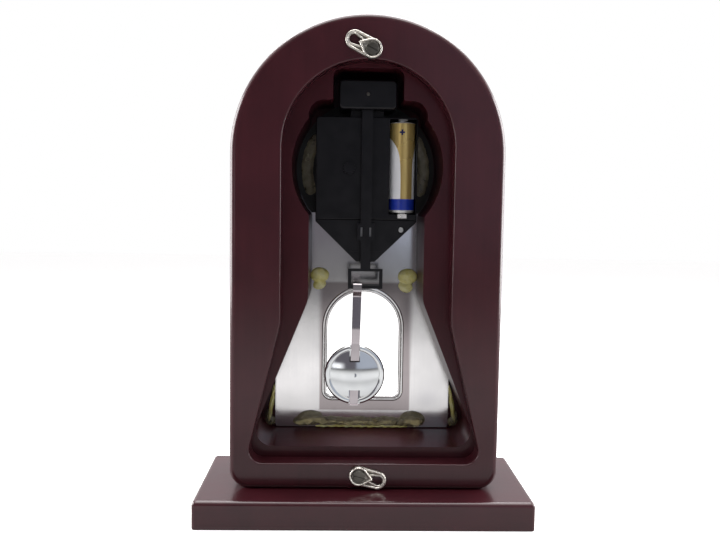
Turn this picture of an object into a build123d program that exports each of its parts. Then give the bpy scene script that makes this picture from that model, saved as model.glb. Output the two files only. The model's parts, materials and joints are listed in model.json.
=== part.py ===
# Desk pendulum clock: an arched wooden case on a base board, open at the back, with a quartz
# pendulum movement glued in behind a sheet metal front panel.
# Millimetres, +Z up, origin under the middle of the base board.
# The dial faces -Y and the open back faces +Y.

import os
from math import atan2, cos, degrees, hypot, pi, radians, sin

from build123d import *

os.makedirs("parts", exist_ok=True)

# Base board
base_width = 175.0
base_depth = 76.0
base_thickness = 14.8
base_top_radius = 2.4
base_corner_radius = 2.0
base_foot_radius = 0.6

# Case, from the base board up: floor wall, works, arch
case_width = 142.0
case_depth = 53.4
case_back_overhang = 18.6
floor_wall = 19.8
dial_rise = 150.4
case_top_rise = 77.0
front_wall = 4.5
case_edge_radius = 3.0
case_foot_radius = 10.5

# Rebate that takes the back cover
rebate_depth = 11.4
rebate_top_wall = 22.9
rebate_foot_wall = 13.9
rebate_side_wall = 8.5
rebate_ledge = 4.6
rebate_bend_rise = 88.2
rebate_bend_radius = 20.0
rebate_foot_radius = 7.0
rebate_lip_radius = 0.8

# Works cavity, cut deeper than the rebate
bore_gap = 0.8
neck_gap = 3.0
flare_rise = 79.4
flare_bend_radius = 14.0
cavity_foot_radius = 9.0
shoulder_side_gap = 3.6
shoulder_top_gap = 7.05
shoulder_radius = 8.0
notch_side_gap = 3.0
notch_top_gap = 4.8
notch_radius = 5.0

# Opening through the front wall
opening_ledge = 4.0
opening_foot_lap = 4.0
opening_corner_radius = 3.0

# Sheet metal front panel with its pendulum window
panel_thickness = 0.8
panel_width = 100.4
panel_gap = 0.6
panel_corner_radius = 1.5
window_width = 41.4
window_sill_rise = 19.3
window_head_drop = 69.8
window_corner_radius = 2.9
bead_gap = 0.7
bead_width = 1.6
bead_height = 0.5
bead_edge_radius = 0.4
bead_groove_depth = 0.35
bead_wall = 0.35

# Fibre board behind the dial, above the panel, and the hot-melt glue on it
board_foot_drop = 14.0
board_joint_gap = 0.1
dial_glue_inner_inset = 6.0
dial_glue_outset = 0.3
dial_glue_side_gap = 0.6
dial_glue_rise = 17.5
dial_glue_foot_gap = 0.5
dial_glue_height = 1.4

# Hot-melt glue that holds the panel
glue_blob_radius = 5.0
glue_blob_height = 2.3
glue_blob_edge_radius = 2.1
glue_blob_rise = 9.4
glue_pair_pitch = 4.2
glue_pair_spacing = 59.6
glue_bead_radius = 2.0
glue_bead_length = 50.0
glue_corner_radius = 2.4
glue_corner_height = 3.4
glue_corner_pitch = 11.0
glue_corner_rise = 11.8
glue_edge_gap = 0.3

# Movement shells
movement_width = 55.4
movement_height = 55.5
movement_depth = 21.7
movement_corner_radius = 2.0
shell_edge_radius = 0.5
front_shell_depth = 5.9
shell_wall = 1.2
shell_floor = 1.5
drive_cheek = 1.25
drive_drop = 23.25
drive_tip_width = 10.2
drive_corner_radius = 1.0
drive_cover_step = 0.6
drive_cover_rib_width = 17.0
drive_cover_rib_height = 0.6
drive_cover_rib_rise = 0.3
drive_cover_rib_drop = 17.9
washer_thickness = 1.0
washer_radius = 9.0

# Hanger block on top of the movement, which carries the arm's pin
block_width = 31.2
block_height = 15.5
block_depth = 23.5
block_proud = 7.5
block_corner_radius = 2.6
block_edge_radius = 1.2
block_stem_width = 18.0
block_stem_height = 3.35
block_stem_depth = 11.0
block_stem_inset = 2.0
pivot_rise = 7.9
pin_radius = 1.0
pin_length = 10.5
pin_dome = 0.4

# Battery and its bay
battery_diameter = 14.5
battery_length = 50.5
battery_edge_radius = 0.8
nub_radius = 2.7
nub_height = 1.0
battery_gap = 0.15
bay_side_wall = 0.6
bay_inner_wall = 1.0
bay_top_wall = 0.8
battery_end_gap = 0.1
contact_space = 0.85
contact_sheet = 0.3
contact_width = 4.9
contact_depth = 9.0
contact_tab = 2.0
contact_bump_radius = 2.0
contact_bump_height = 0.45

# Pendulum arm
arm_width = 5.9
arm_thickness = 2.4
arm_gap = 1.0
arm_swing_deg = 4.0
arm_eye_radius = 3.4
arm_slot_gap = 1.2
magnet_size = 7.0
magnet_thickness = 0.8
magnet_gap = 0.1
paddle_width = 9.4
paddle_height = 9.0
paddle_step = 0.6
slot_width = 1.1
slot_height = 5.0
slot_spacing = 4.8
arm_stem_width = 5.4
frame_gap = 3.55
frame_width = 18.9
frame_height = 10.95
frame_side = 1.85
frame_head = 1.4
frame_sill = 2.5

# Pendulum rod and bob
strip_width = 4.75
strip_thickness = 0.5
hook_gap = 0.35
hook_lip = 2.2
rod_offset = 4.2
bob_offset = 5.1
rod_heel = 2.6
rod_neck_drop = 5.6
rod_neck_set = 0.7
rod_neck_radius = 1.5
rod_bend_drop = 23.8
rod_bend_set = 0.9
rod_bend_radius = 9.0
rod_seat_drop = 31.6
bob_radius = 16.6
bob_floor_gap = 20.5
bob_sheet = 0.5
bob_rim_width = 3.1
bob_rim_height = 1.3
bob_rim_middle = 1.4
bob_edge_height = 0.4
bob_edge_land = 0.6
bob_valley_height = 0.75
bob_dome_height = 3.0
top_notch_width = 5.6
foot_notch_width = 6.1
notch_overrun = 1.0
strip_slot_gap = 0.06
top_notch_radius = 7.2
foot_notch_radius = 8.5
strip_tip_reach = 1.8
strip_tip_gap = 0.1
strip_tip_radius = 0.6

# Turn-buttons that hold the back cover
button_reach = 10.0
button_end_radius = 4.9
button_boss_radius = 5.1
button_thickness = 1.3
button_rim_width = 1.1
button_rim_height = 0.8
button_lip_width = 0.7
button_lip_height = 0.5
button_window_radius = 2.2
button_window_point_radius = 1.6
button_window_reach = 10.6
button_window_point_reach = 7.4
button_boss_height = 1.7
button_boss_point_reach = 6.6
button_boss_point_radius = 0.9
button_boss_wall = 0.8
button_dish_depth = 0.9
button_edge_radius = 0.3
button_gap = 0.15
upper_button_x = -1.1
upper_button_rise = 4.7
upper_button_bearing_deg = 27.0
lower_button_x = 2.6
lower_button_drop = 6.0
lower_button_bearing_deg = 194.0
button_screw_radius = 1.2
button_screw_length = 11.0
button_screw_head_radius = 3.1
button_screw_head_height = 0.7
button_screw_gap = 0.07
screw_slot_width = 0.6
screw_slot_depth = 0.5

# Screws that hold the case on its base
base_screw_spacing = 70.0
base_screw_radius = 1.75
base_screw_head_radius = 3.6
base_screw_head_depth = 2.6
base_screw_length = 27.0
base_screw_recess = 0.6
base_screw_point = 3.0

# Screw that holds the drive cover
cover_screw_x = -19.3
cover_screw_drop = 5.45
cover_screw_head_radius = 1.4
cover_screw_head_height = 0.6
cover_screw_radius = 0.7
cover_screw_length = 5.0
cover_boss_radius = 1.5
cover_hole_depth = 6.0

# Gear train: distances between axes, bearings in degrees from +X towards +Z
motion_distance = 9.6
motion_bearing_deg = 0.0
third_distance = 9.0
third_bearing_deg = 70.0
middle_distance = 9.1
middle_bearing_deg = -60.0
rotor_distance = 6.0
rotor_bearing_deg = -70.0
wheel_thickness = 1.0
level_pitch = 2.0
level_gap = 0.6
minute_pinion_teeth = 12
motion_wheel_teeth = 36
motion_pinion_teeth = 10
hour_wheel_teeth = 40
centre_wheel_teeth = 64
third_pinion_teeth = 8
third_wheel_teeth = 60
second_pinion_teeth = 8
second_wheel_teeth = 60
middle_pinion_teeth = 10
middle_wheel_teeth = 40
rotor_pinion_teeth = 8
addendum_share = 0.75
dedendum_share = 1.1
tooth_width_share = 0.40
flank_slope_share = 0.36
arbor_radius = 0.4
arbor_seat_depth = 0.8
running_gap = 0.05
second_arbor_radius = 0.6
minute_pipe_radius = 1.6
hour_pipe_radius = 2.5

# Bridge plate, motor and circuit
bridge_thickness = 1.0
bridge_rear_gap = 0.5
bridge_edge_gap = 0.2
pillar_radius = 1.5
pillar_inset = 0.7
shaft_hole_gap = 0.3
rotor_magnet_radius = 2.8
rotor_magnet_thickness = 2.0
rotor_magnet_gap = 1.0
stator_gap = 0.5
stator_thickness = 1.0
stator_air_gap = 0.5
stator_left = 4.2
stator_right = 18.4
stator_top = 4.6
stator_bottom = 9.0
stator_core_height = 2.0
stator_window_left = 2.0
stator_window_right = 15.8
stator_window_height = 2.8
coil_radius = 3.0
coil_winding_radius = 2.6
coil_bore_radius = 1.2
coil_length = 13.0
coil_flange = 0.7
standoff_radius = 0.9
standoff_inset = 1.6
board_thickness = 1.0
board_width = 13.0
board_height = 13.4
board_x = 18.4
board_rise = 14.6
board_standoff = 2.4
chip_radius = 2.0
chip_height = 0.9
chip_edge_radius = 0.6
chip_offset = 2.6
crystal_radius = 1.0
crystal_length = 6.0
crystal_offset = 3.2
drive_coil_radius = 5.2
drive_coil_bore_radius = 2.4
drive_coil_thickness = 4.2
drive_coil_drop = 1.55
drive_coil_gap = 0.4
drive_post_gap = 0.2
drive_collar_radius = 3.6

# Set knob on the rear of the movement
knob_shaft_radius = 0.8
knob_radius = 3.3
knob_thickness = 2.0
knob_gap = 0.4
knob_socket_depth = 1.2
knob_flutes = 12
knob_flute_radius = 0.35

# Dial, bezel, glass, bush and nut
dial_thickness = 0.6
dial_edge_gap = 0.8
dial_marks = 12
mark_length = 4.0
mark_width = 1.2
mark_height = 0.25
mark_circle_radius = 27.5
bush_radius = 4.0
bush_end_gap = 0.2
bush_flange_radius = 5.5
bush_flange_thickness = 0.3
bush_hole_gap = 0.2
nut_across_flats = 12.0
nut_thickness = 1.4
bezel_height = 7.2
bezel_wall = 3.2
bezel_lip_thickness = 0.8
bezel_groove = 1.5
bezel_edge_radius = 1.2
glass_thickness = 1.2
glass_gap = 0.05

# Hands, with the time that they show
shown_hours = 10
shown_minutes = 10
shown_seconds = 30
hour_hand_length = 18.5
minute_hand_length = 26.0
second_hand_length = 27.5
hour_hand_width = 3.6
minute_hand_width = 2.8
second_hand_width = 0.9
hour_tail_length = 5.5
minute_tail_length = 6.5
second_tail_length = 8.5
second_weight_radius = 1.8
hour_hub_radius = 3.6
minute_hub_radius = 2.8
second_hub_radius = 1.7
hand_thickness = 0.4
second_hand_thickness = 0.3
hand_gap = 0.5
second_cap_height = 0.5
hand_belly_share = 0.62
hand_tip_share = 0.18

# Small fits that several pieces share
seat_gap = 0.02
overrun = 1.0

# Heights and depths worked out from the sizes above
cavity_floor_z = base_thickness + floor_wall
dial_z = cavity_floor_z + dial_rise
case_top_z = dial_z + case_top_rise
case_back_y = base_depth / 2 - case_back_overhang
case_front_y = case_back_y - case_depth
case_middle_y = (case_back_y + case_front_y) / 2
rebate_floor_y = case_back_y - rebate_depth
front_wall_y = case_front_y + front_wall
panel_rear_y = front_wall_y + panel_thickness
movement_front_y = panel_rear_y + washer_thickness
movement_rear_y = movement_front_y + movement_depth
split_y = movement_front_y + front_shell_depth
movement_top_z = dial_z + movement_height / 2
movement_bottom_z = dial_z - movement_height / 2
drive_cover_rear_y = movement_rear_y - drive_cover_step
drive_tip_z = movement_bottom_z - drive_drop
dial_front_y = front_wall_y - dial_thickness

block_bottom_z = movement_top_z + block_stem_height
block_top_z = block_bottom_z + block_height
block_rear_y = movement_rear_y + block_proud
pivot_z = block_bottom_z + pivot_rise

neck_half = movement_width / 2 + neck_gap
bore_radius = hypot(movement_width, movement_height) / 2 + bore_gap
flare_z = cavity_floor_z + flare_rise
foot_half = case_width / 2 - rebate_side_wall
rebate_half = bore_radius + rebate_ledge
rebate_top_z = case_top_z - rebate_top_wall
rebate_floor_z = base_thickness + rebate_foot_wall
rebate_bend_z = base_thickness + rebate_bend_rise
opening_radius = bore_radius - opening_ledge
window_sill_z = cavity_floor_z + window_sill_rise
window_head_z = dial_z - window_head_drop
board_foot_z = dial_z - board_foot_drop

arm_front_y = movement_rear_y + arm_gap
arm_rear_y = arm_front_y + arm_thickness
pendulum_y = (arm_front_y + arm_rear_y) / 2
frame_top_z = drive_tip_z - frame_gap
frame_bottom_z = frame_top_z - frame_height
hook_z = frame_bottom_z + frame_sill - arm_thickness / 2
magnet_z = movement_bottom_z - drive_coil_drop - drive_coil_radius
bob_z = cavity_floor_z + bob_floor_gap + bob_radius
rod_lean = atan2(bob_offset - rod_offset, hook_z - bob_z)


def facing(y):
    """A plane across the clock at depth y: x is the part's X, y its Z, and its normal points forward."""
    return Plane.XZ.offset(-y)


def arched_outline(half_width, foot_z, top_z, foot_radius):
    """An upright outline with a semicircular top and rounded lower corners."""
    spring_z = top_z - half_width
    with BuildSketch() as outline:
        with BuildLine():
            Polyline(
                (-half_width, spring_z),
                (-half_width, foot_z),
                (half_width, foot_z),
                (half_width, spring_z),
            )
            ThreePointArc((half_width, spring_z), (0, top_z), (-half_width, spring_z))
        make_face()
        fillet(outline.vertices().group_by(Axis.Y)[0], foot_radius)
    return outline.sketch


def flared_outline(half_width, top_z, bend_z, foot_half_width, foot_z, bend_radius, foot_radius):
    """An arched outline whose sides spread below a bend."""
    spring_z = top_z - half_width
    with BuildSketch() as outline:
        with BuildLine():
            Polyline(
                (-half_width, spring_z),
                (-half_width, bend_z),
                (-foot_half_width, foot_z),
                (foot_half_width, foot_z),
                (half_width, bend_z),
                (half_width, spring_z),
            )
            ThreePointArc((half_width, spring_z), (0, top_z), (-half_width, spring_z))
        make_face()
        fillet(outline.vertices().group_by(Axis.Y)[1], bend_radius)
        fillet(outline.vertices().group_by(Axis.Y)[0], foot_radius)
    return outline.sketch


def keyhole_outline(inset):
    """The works cavity without its notch: a round bore over a neck that flares to a wide foot."""
    with BuildSketch() as outline:
        with Locations((0, dial_z)):
            Circle(bore_radius - inset)
        add(
            flared_outline(
                neck_half - inset,
                dial_z + neck_half - inset,
                flare_z,
                foot_half - inset,
                cavity_floor_z + inset,
                flare_bend_radius,
                cavity_foot_radius,
            )
        )
    return outline.sketch


def window_outline(offset_out):
    """The pendulum window's outline, or one set outside it by the same distance all round."""
    return arched_outline(
        window_width / 2 + offset_out,
        window_sill_z - offset_out,
        window_head_z + offset_out,
        window_corner_radius + offset_out,
    )


def drive_outline(inset):
    """The tapered lower part of the movement, which holds the pendulum's drive coil."""
    half = movement_width / 2
    cheek_z = movement_bottom_z - drive_cheek
    with BuildSketch() as outline:
        with BuildLine():
            Polyline(
                (-half, movement_bottom_z),
                (-half, cheek_z),
                (-drive_tip_width / 2, drive_tip_z),
                (drive_tip_width / 2, drive_tip_z),
                (half, cheek_z),
                (half, movement_bottom_z),
                close=True,
            )
        make_face()
        fillet(outline.vertices().group_by(Axis.Y)[0], drive_corner_radius)
        fillet(outline.vertices().group_by(Axis.Y)[-2], drive_corner_radius)
        if inset > 0:
            offset(amount=-inset)
    return outline.sketch


def movement_outline(inset):
    """The whole front of the movement: its square body and the tapered part below."""
    half = movement_width / 2
    cheek_z = movement_bottom_z - drive_cheek
    with BuildSketch() as outline:
        with BuildLine():
            Polyline(
                (-half, movement_top_z),
                (-half, cheek_z),
                (-drive_tip_width / 2, drive_tip_z),
                (drive_tip_width / 2, drive_tip_z),
                (half, cheek_z),
                (half, movement_top_z),
                close=True,
            )
        make_face()
        fillet(outline.vertices().group_by(Axis.Y)[0], drive_corner_radius)
        fillet(outline.vertices().group_by(Axis.Y)[-2], drive_corner_radius)
        fillet(outline.vertices().group_by(Axis.Y)[-1], movement_corner_radius)
        if inset > 0:
            offset(amount=-inset)
    return outline.sketch


def tapered_outline(start_x, start_radius, end_x, end_radius):
    """Two circles on the x line joined by their outer tangents."""
    with BuildSketch() as outline:
        with BuildSketch(mode=Mode.PRIVATE) as ends:
            with Locations((start_x, 0)):
                Circle(start_radius)
            with Locations((end_x, 0)):
                Circle(end_radius)
        make_hull(ends.sketch.edges())
    return outline.sketch


def button_outline(inset):
    """The loop of a turn-button, from its pivot at the origin towards its far end along x."""
    return tapered_outline(
        0,
        button_boss_radius - inset,
        button_reach,
        button_end_radius - inset,
    )


def button_window_outline(offset_out):
    """The window of a turn-button's loop, or a line set outside it."""
    return tapered_outline(
        button_window_point_reach,
        button_window_point_radius + offset_out,
        button_window_reach,
        button_window_radius + offset_out,
    )


def button_plane(x, z, bearing_deg):
    """The rear-facing plane that a turn-button lies on, with x from its pivot to its far end."""
    turn = radians(bearing_deg)
    return Plane(
        origin=(x, case_back_y + button_gap, z),
        x_dir=(cos(turn), 0, sin(turn)),
        z_dir=(0, 1, 0),
    )


def dome_outline(side):
    """Half the section of a bob shell: x is the depth from the middle plane, y the radius."""
    rim_inner = bob_radius - bob_rim_width
    rim_top = bob_radius - bob_rim_middle
    with BuildSketch() as outline:
        with BuildLine():
            TangentArc(
                (side * bob_dome_height, 0),
                (side * bob_valley_height, rim_inner),
                tangent=(0, 1),
            )
            ThreePointArc(
                (side * bob_valley_height, rim_inner),
                (side * bob_rim_height, rim_top),
                (side * bob_edge_height, bob_radius),
            )
            Polyline(
                (side * bob_edge_height, bob_radius),
                (0, bob_radius),
                (0, bob_radius - bob_edge_land),
            )
            ThreePointArc(
                (0, bob_radius - bob_edge_land),
                (side * (bob_rim_height - bob_sheet), rim_top),
                (side * (bob_valley_height - bob_sheet), rim_inner),
            )
            TangentArc(
                (side * (bob_dome_height - bob_sheet), 0),
                (side * (bob_valley_height - bob_sheet), rim_inner),
                tangent=(0, 1),
            )
            Line((side * (bob_dome_height - bob_sheet), 0), (side * bob_dome_height, 0))
        make_face()
    return outline.sketch


def hand_outline(length, tail, width):
    """A leaf-shaped hand that points along x, with its arbor at the origin."""
    belly_x = length * (1 - hand_belly_share)
    with BuildSketch() as outline:
        with BuildLine():
            Polyline(
                (-tail, -width * hand_tip_share),
                (0, -width * hand_tip_share),
                (belly_x, -width / 2),
                (length, -width * hand_tip_share / 2),
                (length, width * hand_tip_share / 2),
                (belly_x, width / 2),
                (0, width * hand_tip_share),
                (-tail, width * hand_tip_share),
                close=True,
            )
        make_face()
    return outline.sketch


def hand_plane(clockwise_deg, y):
    """A plane at depth y whose x points where a hand does, and whose normal points forward."""
    turn = radians(clockwise_deg)
    return Plane(origin=(0, y, dial_z), x_dir=(sin(turn), 0, cos(turn)), z_dir=(0, -1, 0))


def level_y(level):
    """Front face of the wheels on one level of the train, counted from the front shell."""
    return movement_front_y + shell_floor + level_gap + level * level_pitch


def spot(origin, distance, bearing_deg):
    """The point at a distance and bearing from another point."""
    turn = radians(bearing_deg)
    return (origin[0] + distance * cos(turn), origin[1] + distance * sin(turn))


def toothed_face(centre, teeth, module, phase):
    """A gear outline of straight-flanked teeth, with a tooth at the angle phase."""
    pitch_radius = teeth * module / 2
    tip_radius = pitch_radius + addendum_share * module
    root_radius = pitch_radius - dedendum_share * module
    half_pitch_line = tooth_width_share * pi * module / 2
    half_tip = half_pitch_line - flank_slope_share * (tip_radius - pitch_radius)
    half_root = half_pitch_line + flank_slope_share * (pitch_radius - root_radius)
    points = []
    for tooth in range(teeth):
        middle = phase + 2 * pi * tooth / teeth
        for radius, half in (
            (root_radius, -half_root),
            (tip_radius, -half_tip),
            (tip_radius, half_tip),
            (root_radius, half_root),
        ):
            angle = middle + half / radius
            points.append((centre[0] + radius * cos(angle), centre[1] + radius * sin(angle)))
    with BuildSketch() as outline:
        with BuildLine():
            Polyline(*points, close=True)
        make_face()
    return outline.sketch


def mesh_phase(phase, teeth, bearing_deg, other_teeth):
    """The phase that sets a gear in mesh with another gear, which lies the other way along the bearing."""
    bearing = radians(bearing_deg)
    into_pitch = (phase - bearing) / (2 * pi / teeth)
    return bearing + pi + 2 * pi / other_teeth * (1 / 2 - into_pitch)


# Base board
with BuildPart() as base_board:
    with BuildSketch():
        RectangleRounded(base_width, base_depth, base_corner_radius)
    extrude(amount=base_thickness)
    fillet(base_board.faces().sort_by(Axis.Z)[-1].edges(), base_top_radius)
    fillet(base_board.faces().sort_by(Axis.Z)[0].edges(), base_foot_radius)
    with BuildSketch():
        with Locations((0, case_middle_y)):
            with GridLocations(base_screw_spacing, 0, 2, 1):
                Circle(base_screw_radius + seat_gap)
    extrude(amount=base_thickness, mode=Mode.SUBTRACT)
    with BuildSketch():
        with Locations((0, case_middle_y)):
            with GridLocations(base_screw_spacing, 0, 2, 1):
                Circle(base_screw_head_radius + seat_gap)
    extrude(amount=base_screw_recess + base_screw_head_depth, mode=Mode.SUBTRACT)
base_board.part.label = "base_board"
export_step(base_board.part, "parts/base_board.step")

# Countersunk wood screws that come up through the base board into the case
with BuildPart() as base_screws:
    with Locations((0, case_middle_y, base_screw_recess)):
        with GridLocations(base_screw_spacing, 0, 2, 1):
            Cone(
                base_screw_head_radius,
                base_screw_radius,
                base_screw_head_depth,
                align=(Align.CENTER, Align.CENTER, Align.MIN),
            )
            Cylinder(
                base_screw_radius,
                base_screw_length - base_screw_point,
                align=(Align.CENTER, Align.CENTER, Align.MIN),
            )
    with Locations((0, case_middle_y, base_screw_recess + base_screw_length - base_screw_point)):
        with GridLocations(base_screw_spacing, 0, 2, 1):
            Cone(
                base_screw_radius,
                base_screw_radius / 4,
                base_screw_point,
                align=(Align.CENTER, Align.CENTER, Align.MIN),
            )
    with Locations((0, case_middle_y, base_screw_recess)):
        with GridLocations(base_screw_spacing, 0, 2, 1):
            Box(
                2 * base_screw_radius,
                screw_slot_width,
                2 * screw_slot_depth,
                mode=Mode.SUBTRACT,
            )
            Box(
                screw_slot_width,
                2 * base_screw_radius,
                2 * screw_slot_depth,
                mode=Mode.SUBTRACT,
            )
base_screws.part.label = "base_screws"
export_step(base_screws.part, "parts/base_screws.step")

# Case: an arched block with a stepped cavity from the back and an opening through its front wall
upper_button_z = rebate_top_z + upper_button_rise
lower_button_z = rebate_floor_z - lower_button_drop
button_places = ((upper_button_x, upper_button_z), (lower_button_x, lower_button_z))
block_half = block_width / 2
with BuildPart() as case_body:
    with BuildSketch(facing(case_back_y)):
        add(arched_outline(case_width / 2, base_thickness, case_top_z, case_foot_radius))
    extrude(amount=case_depth)
    fillet(case_body.faces().sort_by(Axis.Y)[-1].edges(), case_edge_radius)
    fillet(case_body.faces().sort_by(Axis.Y)[0].edges(), case_edge_radius)
    with BuildSketch(facing(case_back_y)):
        add(
            flared_outline(
                rebate_half,
                rebate_top_z,
                rebate_bend_z,
                foot_half,
                rebate_floor_z,
                rebate_bend_radius,
                rebate_foot_radius,
            )
        )
    extrude(amount=rebate_depth, mode=Mode.SUBTRACT)
    fillet(case_body.faces().sort_by(Axis.Y)[-1].inner_wires()[0].edges(), rebate_lip_radius)
    with BuildSketch(facing(rebate_floor_y)):
        add(keyhole_outline(0))
        with Locations((0, dial_z + (movement_height / 2 + shoulder_top_gap) / 2)):
            RectangleRounded(
                2 * (movement_width / 2 + shoulder_side_gap),
                movement_height / 2 + shoulder_top_gap,
                shoulder_radius,
            )
        with Locations((0, (dial_z + block_top_z + notch_top_gap) / 2)):
            RectangleRounded(
                2 * (block_half + notch_side_gap),
                block_top_z + notch_top_gap - dial_z,
                notch_radius,
            )
    extrude(amount=rebate_floor_y - front_wall_y, mode=Mode.SUBTRACT)
    with BuildSketch(facing(front_wall_y)):
        add(keyhole_outline(opening_ledge))
        with Locations((0, dial_z)):
            Rectangle(
                2 * (panel_width / 2 - opening_foot_lap),
                2 * dial_z,
                mode=Mode.INTERSECT,
            )
    extrude(amount=front_wall, mode=Mode.SUBTRACT)
    with BuildSketch(Plane.XY.offset(base_thickness)):
        with Locations((0, case_middle_y)):
            with GridLocations(base_screw_spacing, 0, 2, 1):
                Circle(base_screw_radius + seat_gap)
    extrude(
        amount=base_screw_recess + base_screw_length - base_thickness + overrun,
        mode=Mode.SUBTRACT,
    )
    with BuildSketch(facing(case_back_y)):
        with Locations(*button_places):
            Circle(button_screw_radius + seat_gap)
    extrude(amount=button_screw_length, mode=Mode.SUBTRACT)
case_body.part.label = "case_body"
export_step(case_body.part, "parts/case_body.step")

# Sheet metal front panel with an arched pendulum window inside a pressed bead
with BuildPart() as front_panel:
    with BuildSketch(facing(panel_rear_y)) as panel_outline:
        add(keyhole_outline(panel_gap))
        with Locations((0, dial_z)):
            Rectangle(panel_width, 2 * dial_z, mode=Mode.INTERSECT)
        fillet(panel_outline.vertices().group_by(Axis.Y)[0], panel_corner_radius)
        add(window_outline(0), mode=Mode.SUBTRACT)
        with Locations((0, board_foot_z - board_joint_gap)):
            Rectangle(
                2 * bore_radius,
                2 * bore_radius,
                align=(Align.CENTER, Align.MIN),
                mode=Mode.SUBTRACT,
            )
    extrude(amount=panel_thickness)
    with BuildSketch(facing(front_wall_y)):
        add(window_outline(bead_gap + bead_width))
        add(window_outline(bead_gap), mode=Mode.SUBTRACT)
    extrude(amount=bead_height)
    fillet(front_panel.faces().sort_by(Axis.Y)[0].edges(), bead_edge_radius)
    with BuildSketch(facing(panel_rear_y)):
        add(window_outline(bead_gap + bead_width - bead_wall))
        add(window_outline(bead_gap + bead_wall), mode=Mode.SUBTRACT)
    extrude(amount=bead_groove_depth, mode=Mode.SUBTRACT)
front_panel.part.label = "front_panel"
export_step(front_panel.part, "parts/front_panel.step")

# Fibre board behind the dial: it fills the bore above the panel and is clamped by the bush
with BuildPart() as dial_board:
    with BuildSketch(facing(panel_rear_y)):
        add(keyhole_outline(panel_gap))
        with Locations((0, board_foot_z)):
            Rectangle(
                2 * bore_radius,
                2 * bore_radius,
                align=(Align.CENTER, Align.MIN),
                mode=Mode.INTERSECT,
            )
        with Locations((0, dial_z)):
            Circle(bush_radius + bush_hole_gap, mode=Mode.SUBTRACT)
    extrude(amount=panel_thickness)
dial_board.part.label = "dial_board"
export_step(dial_board.part, "parts/dial_board.step")

# Hot-melt glue on the board, a crescent on each side of the movement
with BuildPart() as dial_glue:
    with BuildSketch(facing(panel_rear_y)):
        with Locations((0, dial_z)):
            Circle(opening_radius + dial_glue_outset)
            Circle(opening_radius - dial_glue_inner_inset, mode=Mode.SUBTRACT)
            Rectangle(
                movement_width + 2 * dial_glue_side_gap,
                2 * bore_radius,
                mode=Mode.SUBTRACT,
            )
        with Locations((0, board_foot_z + dial_glue_foot_gap)):
            Rectangle(
                2 * bore_radius,
                board_foot_drop - dial_glue_foot_gap + dial_glue_rise,
                align=(Align.CENTER, Align.MIN),
                mode=Mode.INTERSECT,
            )
    extrude(amount=-dial_glue_height)
    chamfer(dial_glue.faces().group_by(Axis.Y)[-1].edges(), dial_glue_height / 2)
dial_glue.part.label = "dial_glue"
export_step(dial_glue.part, "parts/dial_glue.step")

# Hot-melt glue around the panel: four blobs, a bead along the floor and a lump beside each edge
upper_glue_x = neck_half - glue_blob_radius - glue_edge_gap
upper_glue_z = flare_z + glue_blob_rise
lower_glue_z = cavity_floor_z + glue_blob_radius + glue_edge_gap
corner_glue_x = panel_width / 2 + glue_corner_radius
with BuildPart() as panel_glue:
    with BuildSketch(facing(panel_rear_y)):
        with Locations((upper_glue_x, upper_glue_z), (-upper_glue_x, upper_glue_z)):
            Circle(glue_blob_radius)
        with Locations((0, lower_glue_z)):
            with GridLocations(glue_pair_spacing, 0, 2, 1):
                SlotCenterToCenter(glue_pair_pitch, 2 * glue_blob_radius)
    extrude(amount=-glue_blob_height)
    fillet(panel_glue.faces().group_by(Axis.Y)[-1].edges(), glue_blob_edge_radius)
    with BuildSketch(Plane.YZ.offset(-glue_bead_length / 2)):
        with Locations((panel_rear_y, cavity_floor_z)):
            Circle(glue_bead_radius)
            Rectangle(
                glue_bead_radius,
                glue_bead_radius,
                align=(Align.MIN, Align.MIN),
                mode=Mode.INTERSECT,
            )
    extrude(amount=glue_bead_length)
    with BuildSketch(facing(front_wall_y)):
        with Locations((0, cavity_floor_z + glue_corner_rise)):
            with GridLocations(2 * corner_glue_x, 0, 2, 1):
                SlotCenterToCenter(glue_corner_pitch, 2 * glue_corner_radius, rotation=90)
    extrude(amount=-glue_corner_height)
    fillet(panel_glue.faces().group_by(Axis.Y)[-1].edges(), glue_blob_edge_radius)
panel_glue.part.label = "panel_glue"
export_step(panel_glue.part, "parts/panel_glue.step")

# Dial plate with applied hour marks
dial_radius = opening_radius - dial_edge_gap
with BuildPart() as dial_plate:
    with BuildSketch(facing(front_wall_y)):
        with Locations((0, dial_z)):
            Circle(dial_radius)
            Circle(bush_radius + bush_hole_gap, mode=Mode.SUBTRACT)
    extrude(amount=dial_thickness)
    with BuildSketch(facing(dial_front_y)):
        with Locations((0, dial_z)):
            with PolarLocations(mark_circle_radius, dial_marks):
                Rectangle(mark_length, mark_width)
    extrude(amount=mark_height)
dial_plate.part.label = "dial_plate"
export_step(dial_plate.part, "parts/dial_plate.step")

# Bezel: a turned ring with a groove for the glass behind its lip
bezel_front_y = dial_front_y - bezel_height
glass_front_y = bezel_front_y + bezel_lip_thickness
bezel_inner = dial_radius - bezel_wall
dial_axis = Axis((0, 0, dial_z), (0, 1, 0))
with BuildPart() as dial_bezel:
    with BuildSketch(Plane.YZ) as bezel_profile:
        with BuildLine():
            Polyline(
                (dial_front_y, dial_z + bezel_inner),
                (dial_front_y, dial_z + dial_radius),
                (bezel_front_y, dial_z + dial_radius),
                (bezel_front_y, dial_z + bezel_inner),
                (glass_front_y, dial_z + bezel_inner),
                (glass_front_y, dial_z + bezel_inner + bezel_groove),
                (glass_front_y + glass_thickness + glass_gap, dial_z + bezel_inner + bezel_groove),
                (glass_front_y + glass_thickness + glass_gap, dial_z + bezel_inner),
                close=True,
            )
        make_face()
        fillet(bezel_profile.vertices().group_by(Axis.X)[0].sort_by(Axis.Y)[-1], bezel_edge_radius)
    revolve(axis=dial_axis)
dial_bezel.part.label = "dial_bezel"
export_step(dial_bezel.part, "parts/dial_bezel.step")

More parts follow.
